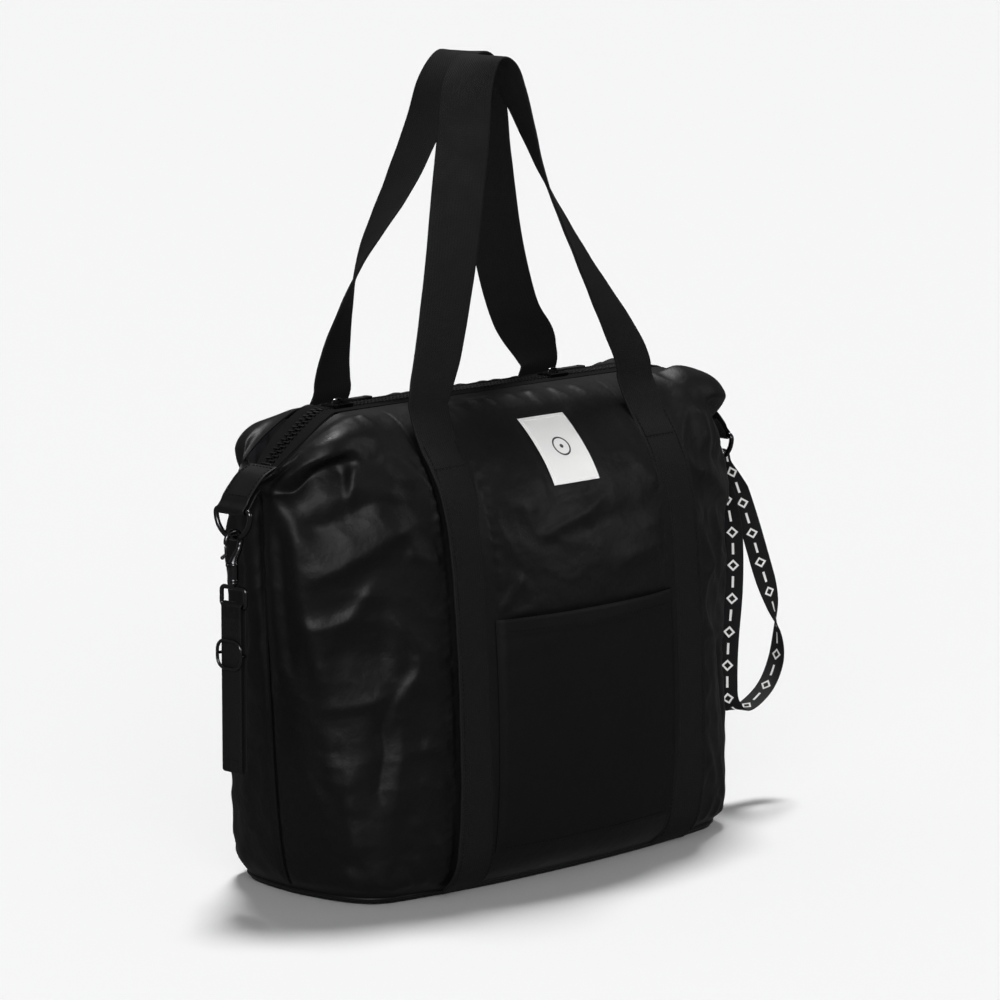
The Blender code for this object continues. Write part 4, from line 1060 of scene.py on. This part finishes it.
def build_front_pocket():
    """A flat patch pocket between the straps; its mouth stands a little open under a folded hem."""
    x, z = np.linspace(-POCKET_REACH, POCKET_REACH, 120), np.linspace(POCKET_LOW, POCKET_HIGH, 110)
    tall = POCKET_HIGH - POCKET_LOW
    across, up = np.meshgrid(x / POCKET_REACH, (z - POCKET_LOW) / tall)
    inward = (1 - soft_step(np.abs(across), 0.92, 0.992)) * soft_step(up, -0.02, 0.05)
    gape = POCKET_GAPE * np.sin(math.pi / 2 * up) ** 3 * np.maximum(np.cos(math.pi / 2 * across), 0.0) ** 0.7
    slack = 0.0005 * noise(across * 2.2 + 5.0, up * 2.6, 71)
    slack += 0.0004 * noise(across + up * 3, up - across, 73, 2)
    pull = 0.0007 * np.exp(-((up - 0.93 - 0.06 * across) / 0.05) ** 2)
    offset = 0.0001 + (0.0010 + np.maximum(slack, -0.0006) + pull) * inward + gape
    inner, normals = face_patch(-1, x, z, offset)
    hem = soft_step(up, 1 - (HEM + MM) / tall, 1 - HEM / tall)
    thickness = 0.0005 + 0.0003 * inward + 0.0006 * hem * inward
    thickness[-1] *= 0.5
    outer = inner + normals * thickness[..., None]
    vertices, faces = sheet_solid(outer, inner)
    uv = both_sides(*np.meshgrid(x, z))
    pocket = make_object("front_pocket_cloth", vertices, faces, FLAT_NYLON, "bag", uv)
    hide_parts("front_pocket")
    lines = []
    for height in (POCKET_HIGH - HEM + 2 * MM, POCKET_LOW + 3 * MM):
        row = int(np.argmin(np.abs(z - height)))
        lines.append(stitch_row(outer[row, 5:-5], normals[row, 5:-5]))
    sew("front_pocket_stitches", lines)


LABEL_HALF_WIDTH = 0.0235
LABEL_LOW = 0.2880
LABEL_HIGH = 0.3320
LABEL_COLUMNS = 24
LABEL_ROWS = 26
LABEL_STITCH = (2.2 * MM, 1.7 * MM, 0.2 * MM)  # pitch, length and radius


def build_label():
    """A woven label that lies on the panel, sewn along its edges."""
    x = np.linspace(-LABEL_HALF_WIDTH, LABEL_HALF_WIDTH, LABEL_COLUMNS)
    z = np.linspace(LABEL_LOW, LABEL_HIGH, LABEL_ROWS)
    across, up = np.meshgrid(np.linspace(-1, 1, LABEL_COLUMNS), np.linspace(-1, 1, LABEL_ROWS))
    rim = np.maximum(np.abs(across), np.abs(up))
    inner, normals = face_patch(-1, x, z, 0.0011 + 0.0002 * (1 - rim ** 6))
    outer = inner + normals * (0.0006 - 0.0003 * soft_step(rim, 0.9, 1.0))[..., None]
    along = run_length(outer[:, LABEL_COLUMNS // 2])
    uv = both_sides(*np.meshgrid(x, along - along[-1] / 2))
    vertices, faces = sheet_solid(outer, inner)
    label = make_object("label_cloth", vertices, faces, LABEL, "bag", uv)
    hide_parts("label")
    lines = [stitch_row(outer[1:-1, c], normals[1:-1, c], *LABEL_STITCH) for c in (1, -2)]
    lines += [stitch_row(outer[r, 1:-1], normals[r, 1:-1], *LABEL_STITCH) for r in (1, -2)]
    vertices, faces = join_parts(lines)
    make_object("label_stitches", vertices, faces, LABEL, "bag", vertices[:, [0, 2]])


# ---------------- zip

ZIP_Z = 0.3490
ZIP_END_Z = 0.3085
ZIP_END_X = 0.2262
ROW_END_X = 0.2160
TAPE_OUTER = 0.0165
TAPE_TAPER_START = 0.190
TAPE_TAPER = 0.0084
SLIDER_X = {"left": -0.1500, "right": 0.0720}
CLOSED_EDGE = 0.0030
OPEN_EDGE = 0.0036
PARTS_OUTSIDE = 0.002  # the rows part over a slider's length, from just outside its middle
PARTS_INSIDE = 0.016
TAPE_HALF_THICKNESS = 0.4 * MM
TAPE_CORD_RISE = 0.6 * MM
TAPE_CORD_INSET = 0.9 * MM
TAPE_CORD_RADIUS = 0.8 * MM
TOOTH_PITCH = 3.6 * MM
# Half outline of a tooth, in millimetres: (half width, distance from the tape's edge towards the
# middle), and its layers: (height, share of the width).
TOOTH_OUTLINE = ((0.70, -2.2), (0.85, -1.6), (0.85, 0.6), (0.62, 1.2), (0.55, 1.7), (0.82, 2.4), (0.80, 3.0),
                 (0.45, 3.5))
TOOTH_LAYERS = ((-1.4, 0.82), (-1.15, 1.0), (1.15, 1.0), (1.4, 0.82))


def zip_height(x):
    """The zip runs level along the middle and bends down towards both ends."""
    reach = np.maximum(np.abs(x) - SLOPE_START, 0.0) / (ZIP_END_X - SLOPE_START)
    return ZIP_Z + (ZIP_END_Z - ZIP_Z) * reach ** SLOPE_POWER


def tape_edge(x):
    """Inner edge of the tapes: together beyond the sliders, just parted between them."""
    parted = soft_step(x, SLIDER_X["left"] - PARTS_OUTSIDE, SLIDER_X["left"] + PARTS_INSIDE)
    parted = parted * (1 - soft_step(x, SLIDER_X["right"] - PARTS_INSIDE, SLIDER_X["right"] + PARTS_OUTSIDE))
    return CLOSED_EDGE + (OPEN_EDGE - CLOSED_EDGE) * parted


def build_tape(name, face):
    """One half of the zip tape, with the bead along its inner edge that carries the teeth."""
    x = np.linspace(-ZIP_END_X, ZIP_END_X, 300)
    turned = np.maximum(np.abs(x) - TAPE_TAPER_START, 0.0) / (ZIP_END_X - TAPE_TAPER_START)
    outer_edge = TAPE_OUTER - TAPE_TAPER * turned ** 1.5
    share = np.linspace(0.0, 1.0, 12)[:, None]
    y = tape_edge(x) + (outer_edge - tape_edge(x)) * share
    cord = np.exp(-((y - tape_edge(x) - TAPE_CORD_INSET) / TAPE_CORD_RADIUS) ** 2)
    across = np.broadcast_to(x, y.shape)
    places = np.stack([across, face * y, np.broadcast_to(zip_height(x), y.shape)], -1)
    lift = np.zeros_like(places)
    lift[..., 2] = TAPE_HALF_THICKNESS + TAPE_CORD_RISE * cord
    vertices, faces = sheet_solid(places + lift, places - lift)
    uv = both_sides(y, across)
    tape = make_object(name + "_zip_tape_cloth", vertices, faces, ZIP_TAPE, "bag", uv)
    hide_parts(name + "_zip_tape")


def build_teeth(name, face):
    """Separate moulded teeth on the tape's edge; the two rows stand half a pitch apart."""
    outline = np.array(TOOTH_OUTLINE + tuple((-w, d) for w, d in reversed(TOOTH_OUTLINE))) * MM
    faces = loft_faces(len(TOOTH_LAYERS), len(outline))
    parts = []
    first = -ROW_END_X + (TOOTH_PITCH / 2 if face > 0 else 0.0)
    for x in np.arange(first, ROW_END_X, TOOTH_PITCH):
        slope = math.atan2(float(zip_height(x + MM) - zip_height(x - MM)), 2 * MM)
        ahead = np.array((math.cos(slope), 0.0, math.sin(slope)))
        up = np.array((-math.sin(slope), 0.0, math.cos(slope)))
        root = np.array((x, face * float(tape_edge(x)), float(zip_height(x))))
        inward = np.array((0.0, -face, 0.0))
        rings = [root + ahead * outline[:, :1] * size + inward * outline[:, 1:] + up * height * MM
                 for height, size in TOOTH_LAYERS]
        parts.append((np.concatenate(rings), faces))
    vertices, faces = join_parts(parts)
    teeth = make_object(name + "_zip_teeth_fine", vertices, faces, TEETH, "bag", angle=50.0)
    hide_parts(name + "_zip_teeth")


def polished(node_name, body, material, width):
    """A CAD solid again, with its edges rounded off."""
    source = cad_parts[node_name]
    mesh = source.data.copy()
    mesh.transform(source.matrix_world)
    shape = bmesh.new()
    shape.from_mesh(mesh)
    bmesh.ops.remove_doubles(shape, verts=shape.verts, dist=0.00001)
    bmesh.ops.dissolve_limit(shape, angle_limit=math.radians(2.0), verts=shape.verts, edges=shape.edges)
    vertices = [tuple(v.co) for v in shape.verts]
    faces = [[v.index for v in f.verts] for f in shape.faces]
    shape.free()
    bpy.data.meshes.remove(mesh)
    piece = make_object(node_name + "_fine", vertices, faces, material, body, angle=35.0)
    bevel = piece.modifiers.new("rounded edges", "BEVEL")
    bevel.width, bevel.segments, bevel.limit_method = width, 2, "ANGLE"
    bevel.angle_limit, bevel.harden_normals = math.radians(35.0), True
    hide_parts(node_name)


def build_zip():
    for name, face in FACES:
        build_tape(name, face)
        build_teeth(name, face)
    for name, _ in SIDES:
        polished("zip_stop_" + name, "bag", TEETH, 0.0004)
        polished("slider_" + name, "slider_" + name, GUNMETAL, 0.0003)
        polished("puller_" + name, "puller_" + name, GUNMETAL, 0.00025)


# ---------------- ends: tab, ring, hook, strap

RING_OUT = 0.2520
RING_Z = 0.2870
RING_WIRE = 0.0019
RING_HALF_WIDTH = 0.0174
RING_CORNER = 0.0030
RING_DEPTH = 0.0200
TAB_WIDTH = 0.0276
TAB_THICKNESS = 0.0014
TAB_OVER = ((-0.0295, 0.0281), (-0.0250, 0.0264), (-0.0185, 0.0236), (-0.0120, 0.0184), (-0.0040, 0.0100),
            (-0.0010, 0.0052))
TAB_UNDER = ((-0.0052, 0.0044), (-0.0098, 0.0105), (-0.0137, 0.0138))
TAB_WRAP = RING_WIRE + 0.00025 + TAB_THICKNESS / 2
TAB_POINTS = 90
TAB_STITCH_REACH = TAB_WIDTH / 2 - 2.4 * MM
TAB_SEWN = slice(2, 44)
TAB_BARS = (3, 40)
HOOK_WIRE = 0.0022
HOOK_LOOP_RADIUS = 0.0070
HOOK_TOP = RING_WIRE + HOOK_WIRE + 0.00045
# rows of (out, up, radius) about the ring's lowest point, from the collar to the jaw's back
HOOK_STEM = ((0.0, -0.0310, 0.0034), (0.0, -0.0302, 0.0037), (0.0, -0.0290, 0.0034),
             (0.0, -0.0250, 0.0036), (0.0, -0.0200, 0.0034), (0.0, -0.0188, 0.0037),
             (0.0, -0.0175, 0.0032), (-0.0016, -0.0140, 0.0026), (-0.0052, -0.0090, 0.0022))
HOOK_JAW_END = 0.0017
# the jaw's rounded tip: shares of the wire's radius
HOOK_TIP = (0.93, 0.78, 0.45)
# the same for the trigger's lug, the trigger and the swivel's collar
HOOK_LUG = ((-0.0005, -0.0197, 0.0016), (0.0060, -0.0185, 0.0016), (0.0068, -0.0184, 0.0009))
TRIGGER_BAR = ((0.0062, -0.0161, 0.0008), (0.00626, -0.015422, 0.0012), (0.00714, -0.005478, 0.0012),
               (0.0072, -0.0048, 0.0008))
TRIGGER_LEVER = ((0.0067, -0.01045, 0.0010), (0.0097, -0.01225, 0.0012), (0.0109, -0.01305, 0.0014),
                 (0.0114, -0.01335, 0.0009))
EYE_COLLAR = ((0.0, -0.0355, 0.0018), (0.0, -0.0336, 0.0018), (0.0, -0.0334, 0.0028), (0.0, -0.0330, 0.0031),
              (0.0, -0.0317, 0.0031), (0.0, -0.0313, 0.0028))
EYE_TOP = -0.0355
EYE_BOTTOM = -0.0490
EYE_HALF_WIDTH = 0.0124
EYE_WIRE = 0.0016
EYE_CORNER = 0.0030
CLIP_STRAP_WIDTH = 0.0200
CLIP_STRAP_THICKNESS = 0.0015
CLIP_STRAP_GAP = 0.0026
CLIP_STRAP_BOTTOM = -0.1680
CLIP_STITCH = (2.6 * MM, 2.1 * MM, 0.26 * MM)  # pitch, length and radius
CLIP_STITCH_REACH = 7.8 * MM
CLIP_STITCH_HEIGHTS = (EYE_BOTTOM - 0.0120, EYE_BOTTOM - 0.0160, CLIP_STRAP_BOTTOM + 0.0090)
ADJUSTER_Z = -0.0830
ADJUSTER_WIRE = 0.0012
ADJUSTER_HALF_WIDTH = 0.0122
ADJUSTER_HALF_HEIGHT = 0.0100
ADJUSTER_CORNER = 0.0075
HOOK_Y = {"left": 0.0, "right": 0.0060}
HOOK_LIFT = {"left": 0.0, "right": 0.0017}


def arc(centre, radius, start, end, steps):
    """Points round part of a circle, between two angles in degrees."""
    angles = np.radians(np.linspace(start, end, steps + 1))
    return [(centre[0] + radius * math.cos(t), centre[1] + radius * math.sin(t)) for t in angles]


def rounded_rectangle(half_x, half_y, corner, steps):
    points = []
    for quarter, (sx, sy) in enumerate(((1, 1), (-1, 1), (-1, -1), (1, -1))):
        centre = (sx * (half_x - corner), sy * (half_y - corner))
        points += arc(centre, corner, 90 * quarter, 90 * quarter + 90, steps)
    return points


def end_places(side, rows, y=0.0, z=RING_Z):
    """World points from rows of (out, across, up) about the D-ring's bar or the hook's place."""
    rows = np.asarray(rows, float)
    return np.stack([side * (RING_OUT + rows[:, 0]), y + rows[:, 1], z + rows[:, 2]], -1)


def profile_tube(side, rows, y, z, sides):
    """A tube from rows of (out, up, radius)."""
    rows = np.asarray(rows, float)
    places = end_places(side, np.stack([rows[:, 0], 0 * rows[:, 0], rows[:, 1]], -1), y, z)
    return tube_mesh(places, rows[:, 2], sides)


def metal_piece(name, parts, replaced):
    """Gunmetal that stands for one CAD solid and moves with the joint body of the same name."""
    vertices, faces = join_parts(parts)
    piece = make_object(name, vertices, faces, GUNMETAL, replaced, angle=50.0)
    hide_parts(replaced)


def build_tab(name, side):
    """Faux leather folded round the ring's bar, stitched along its edges."""
    route = TAB_OVER + tuple(arc((0.0, 0.0), TAB_WRAP, 55, -200, 16)) + TAB_UNDER
    path = evenly(smooth_route([(u, 0.0, v) for u, v in route], 6), TAB_POINTS)
    path = end_places(side, path)
    sides = np.tile((0.0, 1.0, 0.0), (TAB_POINTS, 1))
    vertices, faces, uv, lifts = band(path, sides, np.full(TAB_POINTS, TAB_WIDTH), TAB_THICKNESS)
    tab = make_object("end_tab_%s_leather" % name, vertices, faces, LEATHER, "bag", uv)
    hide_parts("end_tab_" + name)
    outward = lifts * np.sign((lifts[:20] * (side, 0.0, 1.0)).sum())
    top = path + outward * TAB_THICKNESS / 2
    lines = []
    for reach in (-TAB_STITCH_REACH, TAB_STITCH_REACH):
        lines.append(stitch_row(top[TAB_SEWN] + (0.0, reach, 0.0), outward[TAB_SEWN]))
    for row in TAB_BARS:
        lines.append(stitch_bar(top[row], TAB_STITCH_REACH, (0.0, 1.0, 0.0), outward[row]))
    sew("end_tab_%s_stitches" % name, lines)


def build_ring(name, side):
    """A D-ring: its bar lies in the tab's fold, and its bow hangs down."""
    inner = RING_HALF_WIDTH - RING_CORNER
    bow = RING_DEPTH - RING_CORNER
    route = [(y, 0.0) for y in np.linspace(-inner, inner, 12)]
    route += arc((inner, -RING_CORNER), RING_CORNER, 80, 10, 6)
    for angle in np.linspace(0.0, math.pi, 48):
        route.append((RING_HALF_WIDTH * math.cos(angle), -RING_CORNER - bow * math.sin(angle)))
    route += arc((-inner, -RING_CORNER), RING_CORNER, 170, 100, 6)
    path = end_places(side, [(0.0, y, z) for y, z in route])
    metal_piece("d_ring_%s_wire" % name, [tube_mesh(path, RING_WIRE, 18, closed=True)], "d_ring_" + name)


def build_hook(name, side):
    """The snap hook's jaw and barrel with the trigger's lug, the trigger, and the swivelling eye."""
    y, z = HOOK_Y[name], RING_Z - RING_DEPTH + HOOK_LIFT[name]
    jaw = arc((0.0, HOOK_TOP - HOOK_LOOP_RADIUS), HOOK_LOOP_RADIUS, 205, -12, 24)
    radii = np.linspace(HOOK_WIRE, HOOK_JAW_END, len(jaw))
    route = smooth_route(HOOK_STEM + tuple((u, v, r) for (u, v), r in zip(jaw, radii)), 4)
    route[-len(HOOK_TIP):, 2] *= HOOK_TIP
    parts = [profile_tube(side, route, y, z, 18), profile_tube(side, HOOK_LUG, y, z, 14)]
    metal_piece("hook_%s_fine" % name, parts, "hook_" + name)

    parts = [profile_tube(side, rows, y, z, 14) for rows in (TRIGGER_BAR, TRIGGER_LEVER)]
    metal_piece("trigger_%s_fine" % name, parts, "trigger_" + name)

    middle = (EYE_TOP + EYE_BOTTOM) / 2
    frame_route = rounded_rectangle(EYE_HALF_WIDTH, (EYE_TOP - EYE_BOTTOM) / 2, EYE_CORNER, 8)
    eye = end_places(side, [(0.0, u, middle + v) for u, v in frame_route], y, z)
    parts = [tube_mesh(eye, EYE_WIRE, 14, closed=True), profile_tube(side, EYE_COLLAR, y, z, 18)]
    metal_piece("swivel_%s_fine" % name, parts, "swivel_" + name)


def clip_strap_route():
    """Out and up of the doubled strap: round the eye's bar, down, and back up."""
    start = EYE_BOTTOM - 0.0080
    low = CLIP_STRAP_BOTTOM + CLIP_STRAP_GAP
    top = arc((0.0, EYE_BOTTOM), EYE_WIRE + 0.0003 + CLIP_STRAP_THICKNESS / 2, 10, 170, 12)
    left = [(-CLIP_STRAP_GAP, z) for z in np.linspace(start, low, 36)]
    bottom = arc((0.0, low), CLIP_STRAP_GAP, 200, 340, 10)
    return top + left + bottom + [(u * -1, z) for u, z in reversed(left)]


def build_clip_strap(name, side):
    """The doubled stroller strap, sewn together under the eye, and its oval adjuster."""
    y, z = HOOK_Y[name], RING_Z - RING_DEPTH + HOOK_LIFT[name]
    path = end_places(side, [(u, 0.0, v) for u, v in clip_strap_route()], y, z)
    sides = np.tile((0.0, 1.0, 0.0), (len(path), 1))
    widths = np.full(len(path), CLIP_STRAP_WIDTH)
    vertices, faces, uv, _ = band(path, sides, widths, CLIP_STRAP_THICKNESS, closed=True)
    body = "swivel_" + name
    strap = make_object("stroller_strap_%s_webbing" % name, vertices, faces, WEBBING, body, uv)
    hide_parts("stroller_strap_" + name)
    lines = []
    surface_out = CLIP_STRAP_GAP + CLIP_STRAP_THICKNESS / 2
    for out in (-surface_out, surface_out):
        normal = (side * np.sign(out), 0.0, 0.0)
        for height in CLIP_STITCH_HEIGHTS:
            middle = end_places(side, [(out, 0.0, height)], y, z)[0]
            lines.append(stitch_bar(middle, CLIP_STITCH_REACH, (0.0, 1.0, 0.0), normal, *CLIP_STITCH))
    sew("stroller_strap_%s_stitches" % name, lines, body)

    front = surface_out + 0.0003 + ADJUSTER_WIRE
    oval = rounded_rectangle(ADJUSTER_HALF_WIDTH, ADJUSTER_HALF_HEIGHT, ADJUSTER_CORNER, 10)
    loop = end_places(side, [(front, u, ADJUSTER_Z + v) for u, v in oval], y, z)
    wide = ADJUSTER_HALF_WIDTH
    corner = [(front, -wide), (0.0016, -wide), (0.0006, -wide + 0.0004), (0.0, -wide + 0.0016)]
    corners = corner + [(u, -v) for u, v in reversed(corner)]
    bar = end_places(side, [(out, across, ADJUSTER_Z) for out, across in corners], y, z)
    parts = [tube_mesh(loop, ADJUSTER_WIRE, 14, closed=True), tube_mesh(bar, ADJUSTER_WIRE * 0.9, 12)]
    metal_piece("adjuster_%s_fine" % name, parts, "adjuster_" + name)


# ---------------- lanyard

LANYARD_WIDTH = 0.0160
LANYARD_NARROW = 0.0055
LANYARD_THICKNESS = 0.0009
LANYARD_HANG = (0.2520, -0.0080, 0.2752)
LANYARD_GATHER = (0.012, 0.034)
# (x, y, z) of the tape's middle, and the direction of its width in degrees from +X
LANYARD_ROUTE = (
    (0.2480, -0.0125, 0.2480, -75), (0.2466, -0.0092, 0.2640, -88), (0.2476, -0.0082, 0.2722, -90),
    (0.2520, -0.0080, 0.2752, -90), (0.2564, -0.0082, 0.2722, -90), (0.2581, -0.0092, 0.2640, -82),
    (0.2625, -0.0135, 0.2480, -62), (0.2735, -0.0175, 0.2150, -48), (0.2870, -0.0180, 0.1810, -40),
    (0.2985, -0.0195, 0.1500, 5), (0.3040, -0.0200, 0.1280, 60), (0.3030, -0.0200, 0.1060, 90),
    (0.2930, -0.0195, 0.0870, 100), (0.2760, -0.0190, 0.0750, 112), (0.2600, -0.0190, 0.0715, 125),
    (0.2500, -0.0185, 0.0790, 132), (0.2485, -0.0180, 0.0960, 135), (0.2500, -0.0175, 0.1250, 135),
    (0.2545, -0.0175, 0.1680, 134), (0.2540, -0.0175, 0.2080, 126), (0.2505, -0.0160, 0.2320, 114),
    (0.2486, -0.0134, 0.2446, 108),
)


def build_lanyard():
    """A limp woven tape through the right D-ring; its two ends lie on each other, sewn."""
    joined = evenly(smooth_route(LANYARD_ROUTE, 14), 190)
    path, degrees = joined[:, :3], np.radians(joined[:, 3])
    sides = np.stack([np.cos(degrees), np.sin(degrees), 0 * degrees], -1)
    from_ring = np.linalg.norm(path - LANYARD_HANG, axis=1)
    share = np.clip((from_ring - LANYARD_GATHER[0]) / (LANYARD_GATHER[1] - LANYARD_GATHER[0]), 0.0, 1.0)
    widths = LANYARD_NARROW + (LANYARD_WIDTH - LANYARD_NARROW) * share
    vertices, faces, uv, _ = band(path, sides, widths, LANYARD_THICKNESS)
    tape = make_object("lanyard_tape", vertices, faces, LANYARD, "lanyard", uv)
    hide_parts("lanyard")


for face_name, face_sign in FACES:
    build_panel(face_name, face_sign)
    build_lining(face_name, face_sign)
    build_webbing(face_name, face_sign)
    build_strap_stitches(face_name, face_sign)
build_inner_pocket()
build_base()
build_side_seams()
build_front_pocket()
build_label()
build_zip()
for side_name, side_sign in SIDES:
    build_tab(side_name, side_sign)
    build_ring(side_name, side_sign)
    build_hook(side_name, side_sign)
    build_clip_strap(side_name, side_sign)
build_lanyard()
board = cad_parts["base_board"]
board.data.materials.clear()
board.data.materials.append(BOARD)

# ---------------- floor and light

FLOOR_HALF = 30.0
ROOM_BRIGHTNESS = 0.12
AIM = (0.0, 0.0, 0.2)


def area_light(name, place, size, power):
    """A soft panel that is only seen as a sheen on the cloth and the metal."""
    data = bpy.data.lights.new(name, "AREA")
    data.shape = "RECTANGLE"
    data.size, data.size_y = size
    data.energy = power
    light = bpy.data.objects.new(name, data)
    light.location = place
    light.rotation_euler = (Vector(AIM) - Vector(place)).to_track_quat("-Z", "Y").to_euler()
    light.visible_diffuse = False
    bpy.context.scene.collection.objects.link(light)


def sun_light(name, direction, strength, spread, matte_only=False):
    """A distant light; matte_only keeps it out of reflections and takes its shadow away."""
    data = bpy.data.lights.new(name, "SUN")
    data.energy = strength
    data.angle = math.radians(spread)
    data.use_shadow = not matte_only
    light = bpy.data.objects.new(name, data)
    light.rotation_euler = Vector(direction).to_track_quat("-Z", "Y").to_euler()
    light.visible_glossy = not matte_only
    bpy.context.scene.collection.objects.link(light)


def build_stage():
    """A pale floor, a dim room and four lights."""
    corners = [(x * FLOOR_HALF, y * FLOOR_HALF, 0.0) for x, y in ((-1, -1), (1, -1), (1, 1), (-1, 1))]
    pale, tree, shader = new_material("floor", (0.90, 0.90, 0.905), 0.9, specular=0.1)
    vary(tree, shader, "Roughness", cloud(tree, 3.0), 0.88, 0.92)
    mesh = bpy.data.meshes.new("floor")
    mesh.from_pydata(corners, [], [(0, 1, 2, 3)])
    mesh.materials.append(pale)
    floor = bpy.data.objects.new("floor", mesh)
    bpy.context.scene.collection.objects.link(floor)
    floor.visible_glossy = False  # the cloth mirrors a dim room, not the bright floor
    world = bpy.data.worlds.new("studio")
    world.use_nodes = True
    background = world.node_tree.nodes["Background"]
    background.inputs["Color"].default_value = (1.0, 1.0, 1.0, 1.0)
    background.inputs["Strength"].default_value = ROOM_BRIGHTNESS
    bpy.context.scene.world = world
    bpy.context.scene.view_settings.view_transform = "Standard"
    sun_light("overhead", (-0.21, -0.21, -1.0), 2.52, 13.0)
    sun_light("fill", (0.62, 0.66, -0.15), 2.3, 60.0, matte_only=True)
    area_light("key", (-2.2, -1.5, 1.55), (1.5, 1.1), 54.0)
    area_light("front", (1.7, -2.1, 1.3), (0.9, 1.1), 10.0)


build_stage()
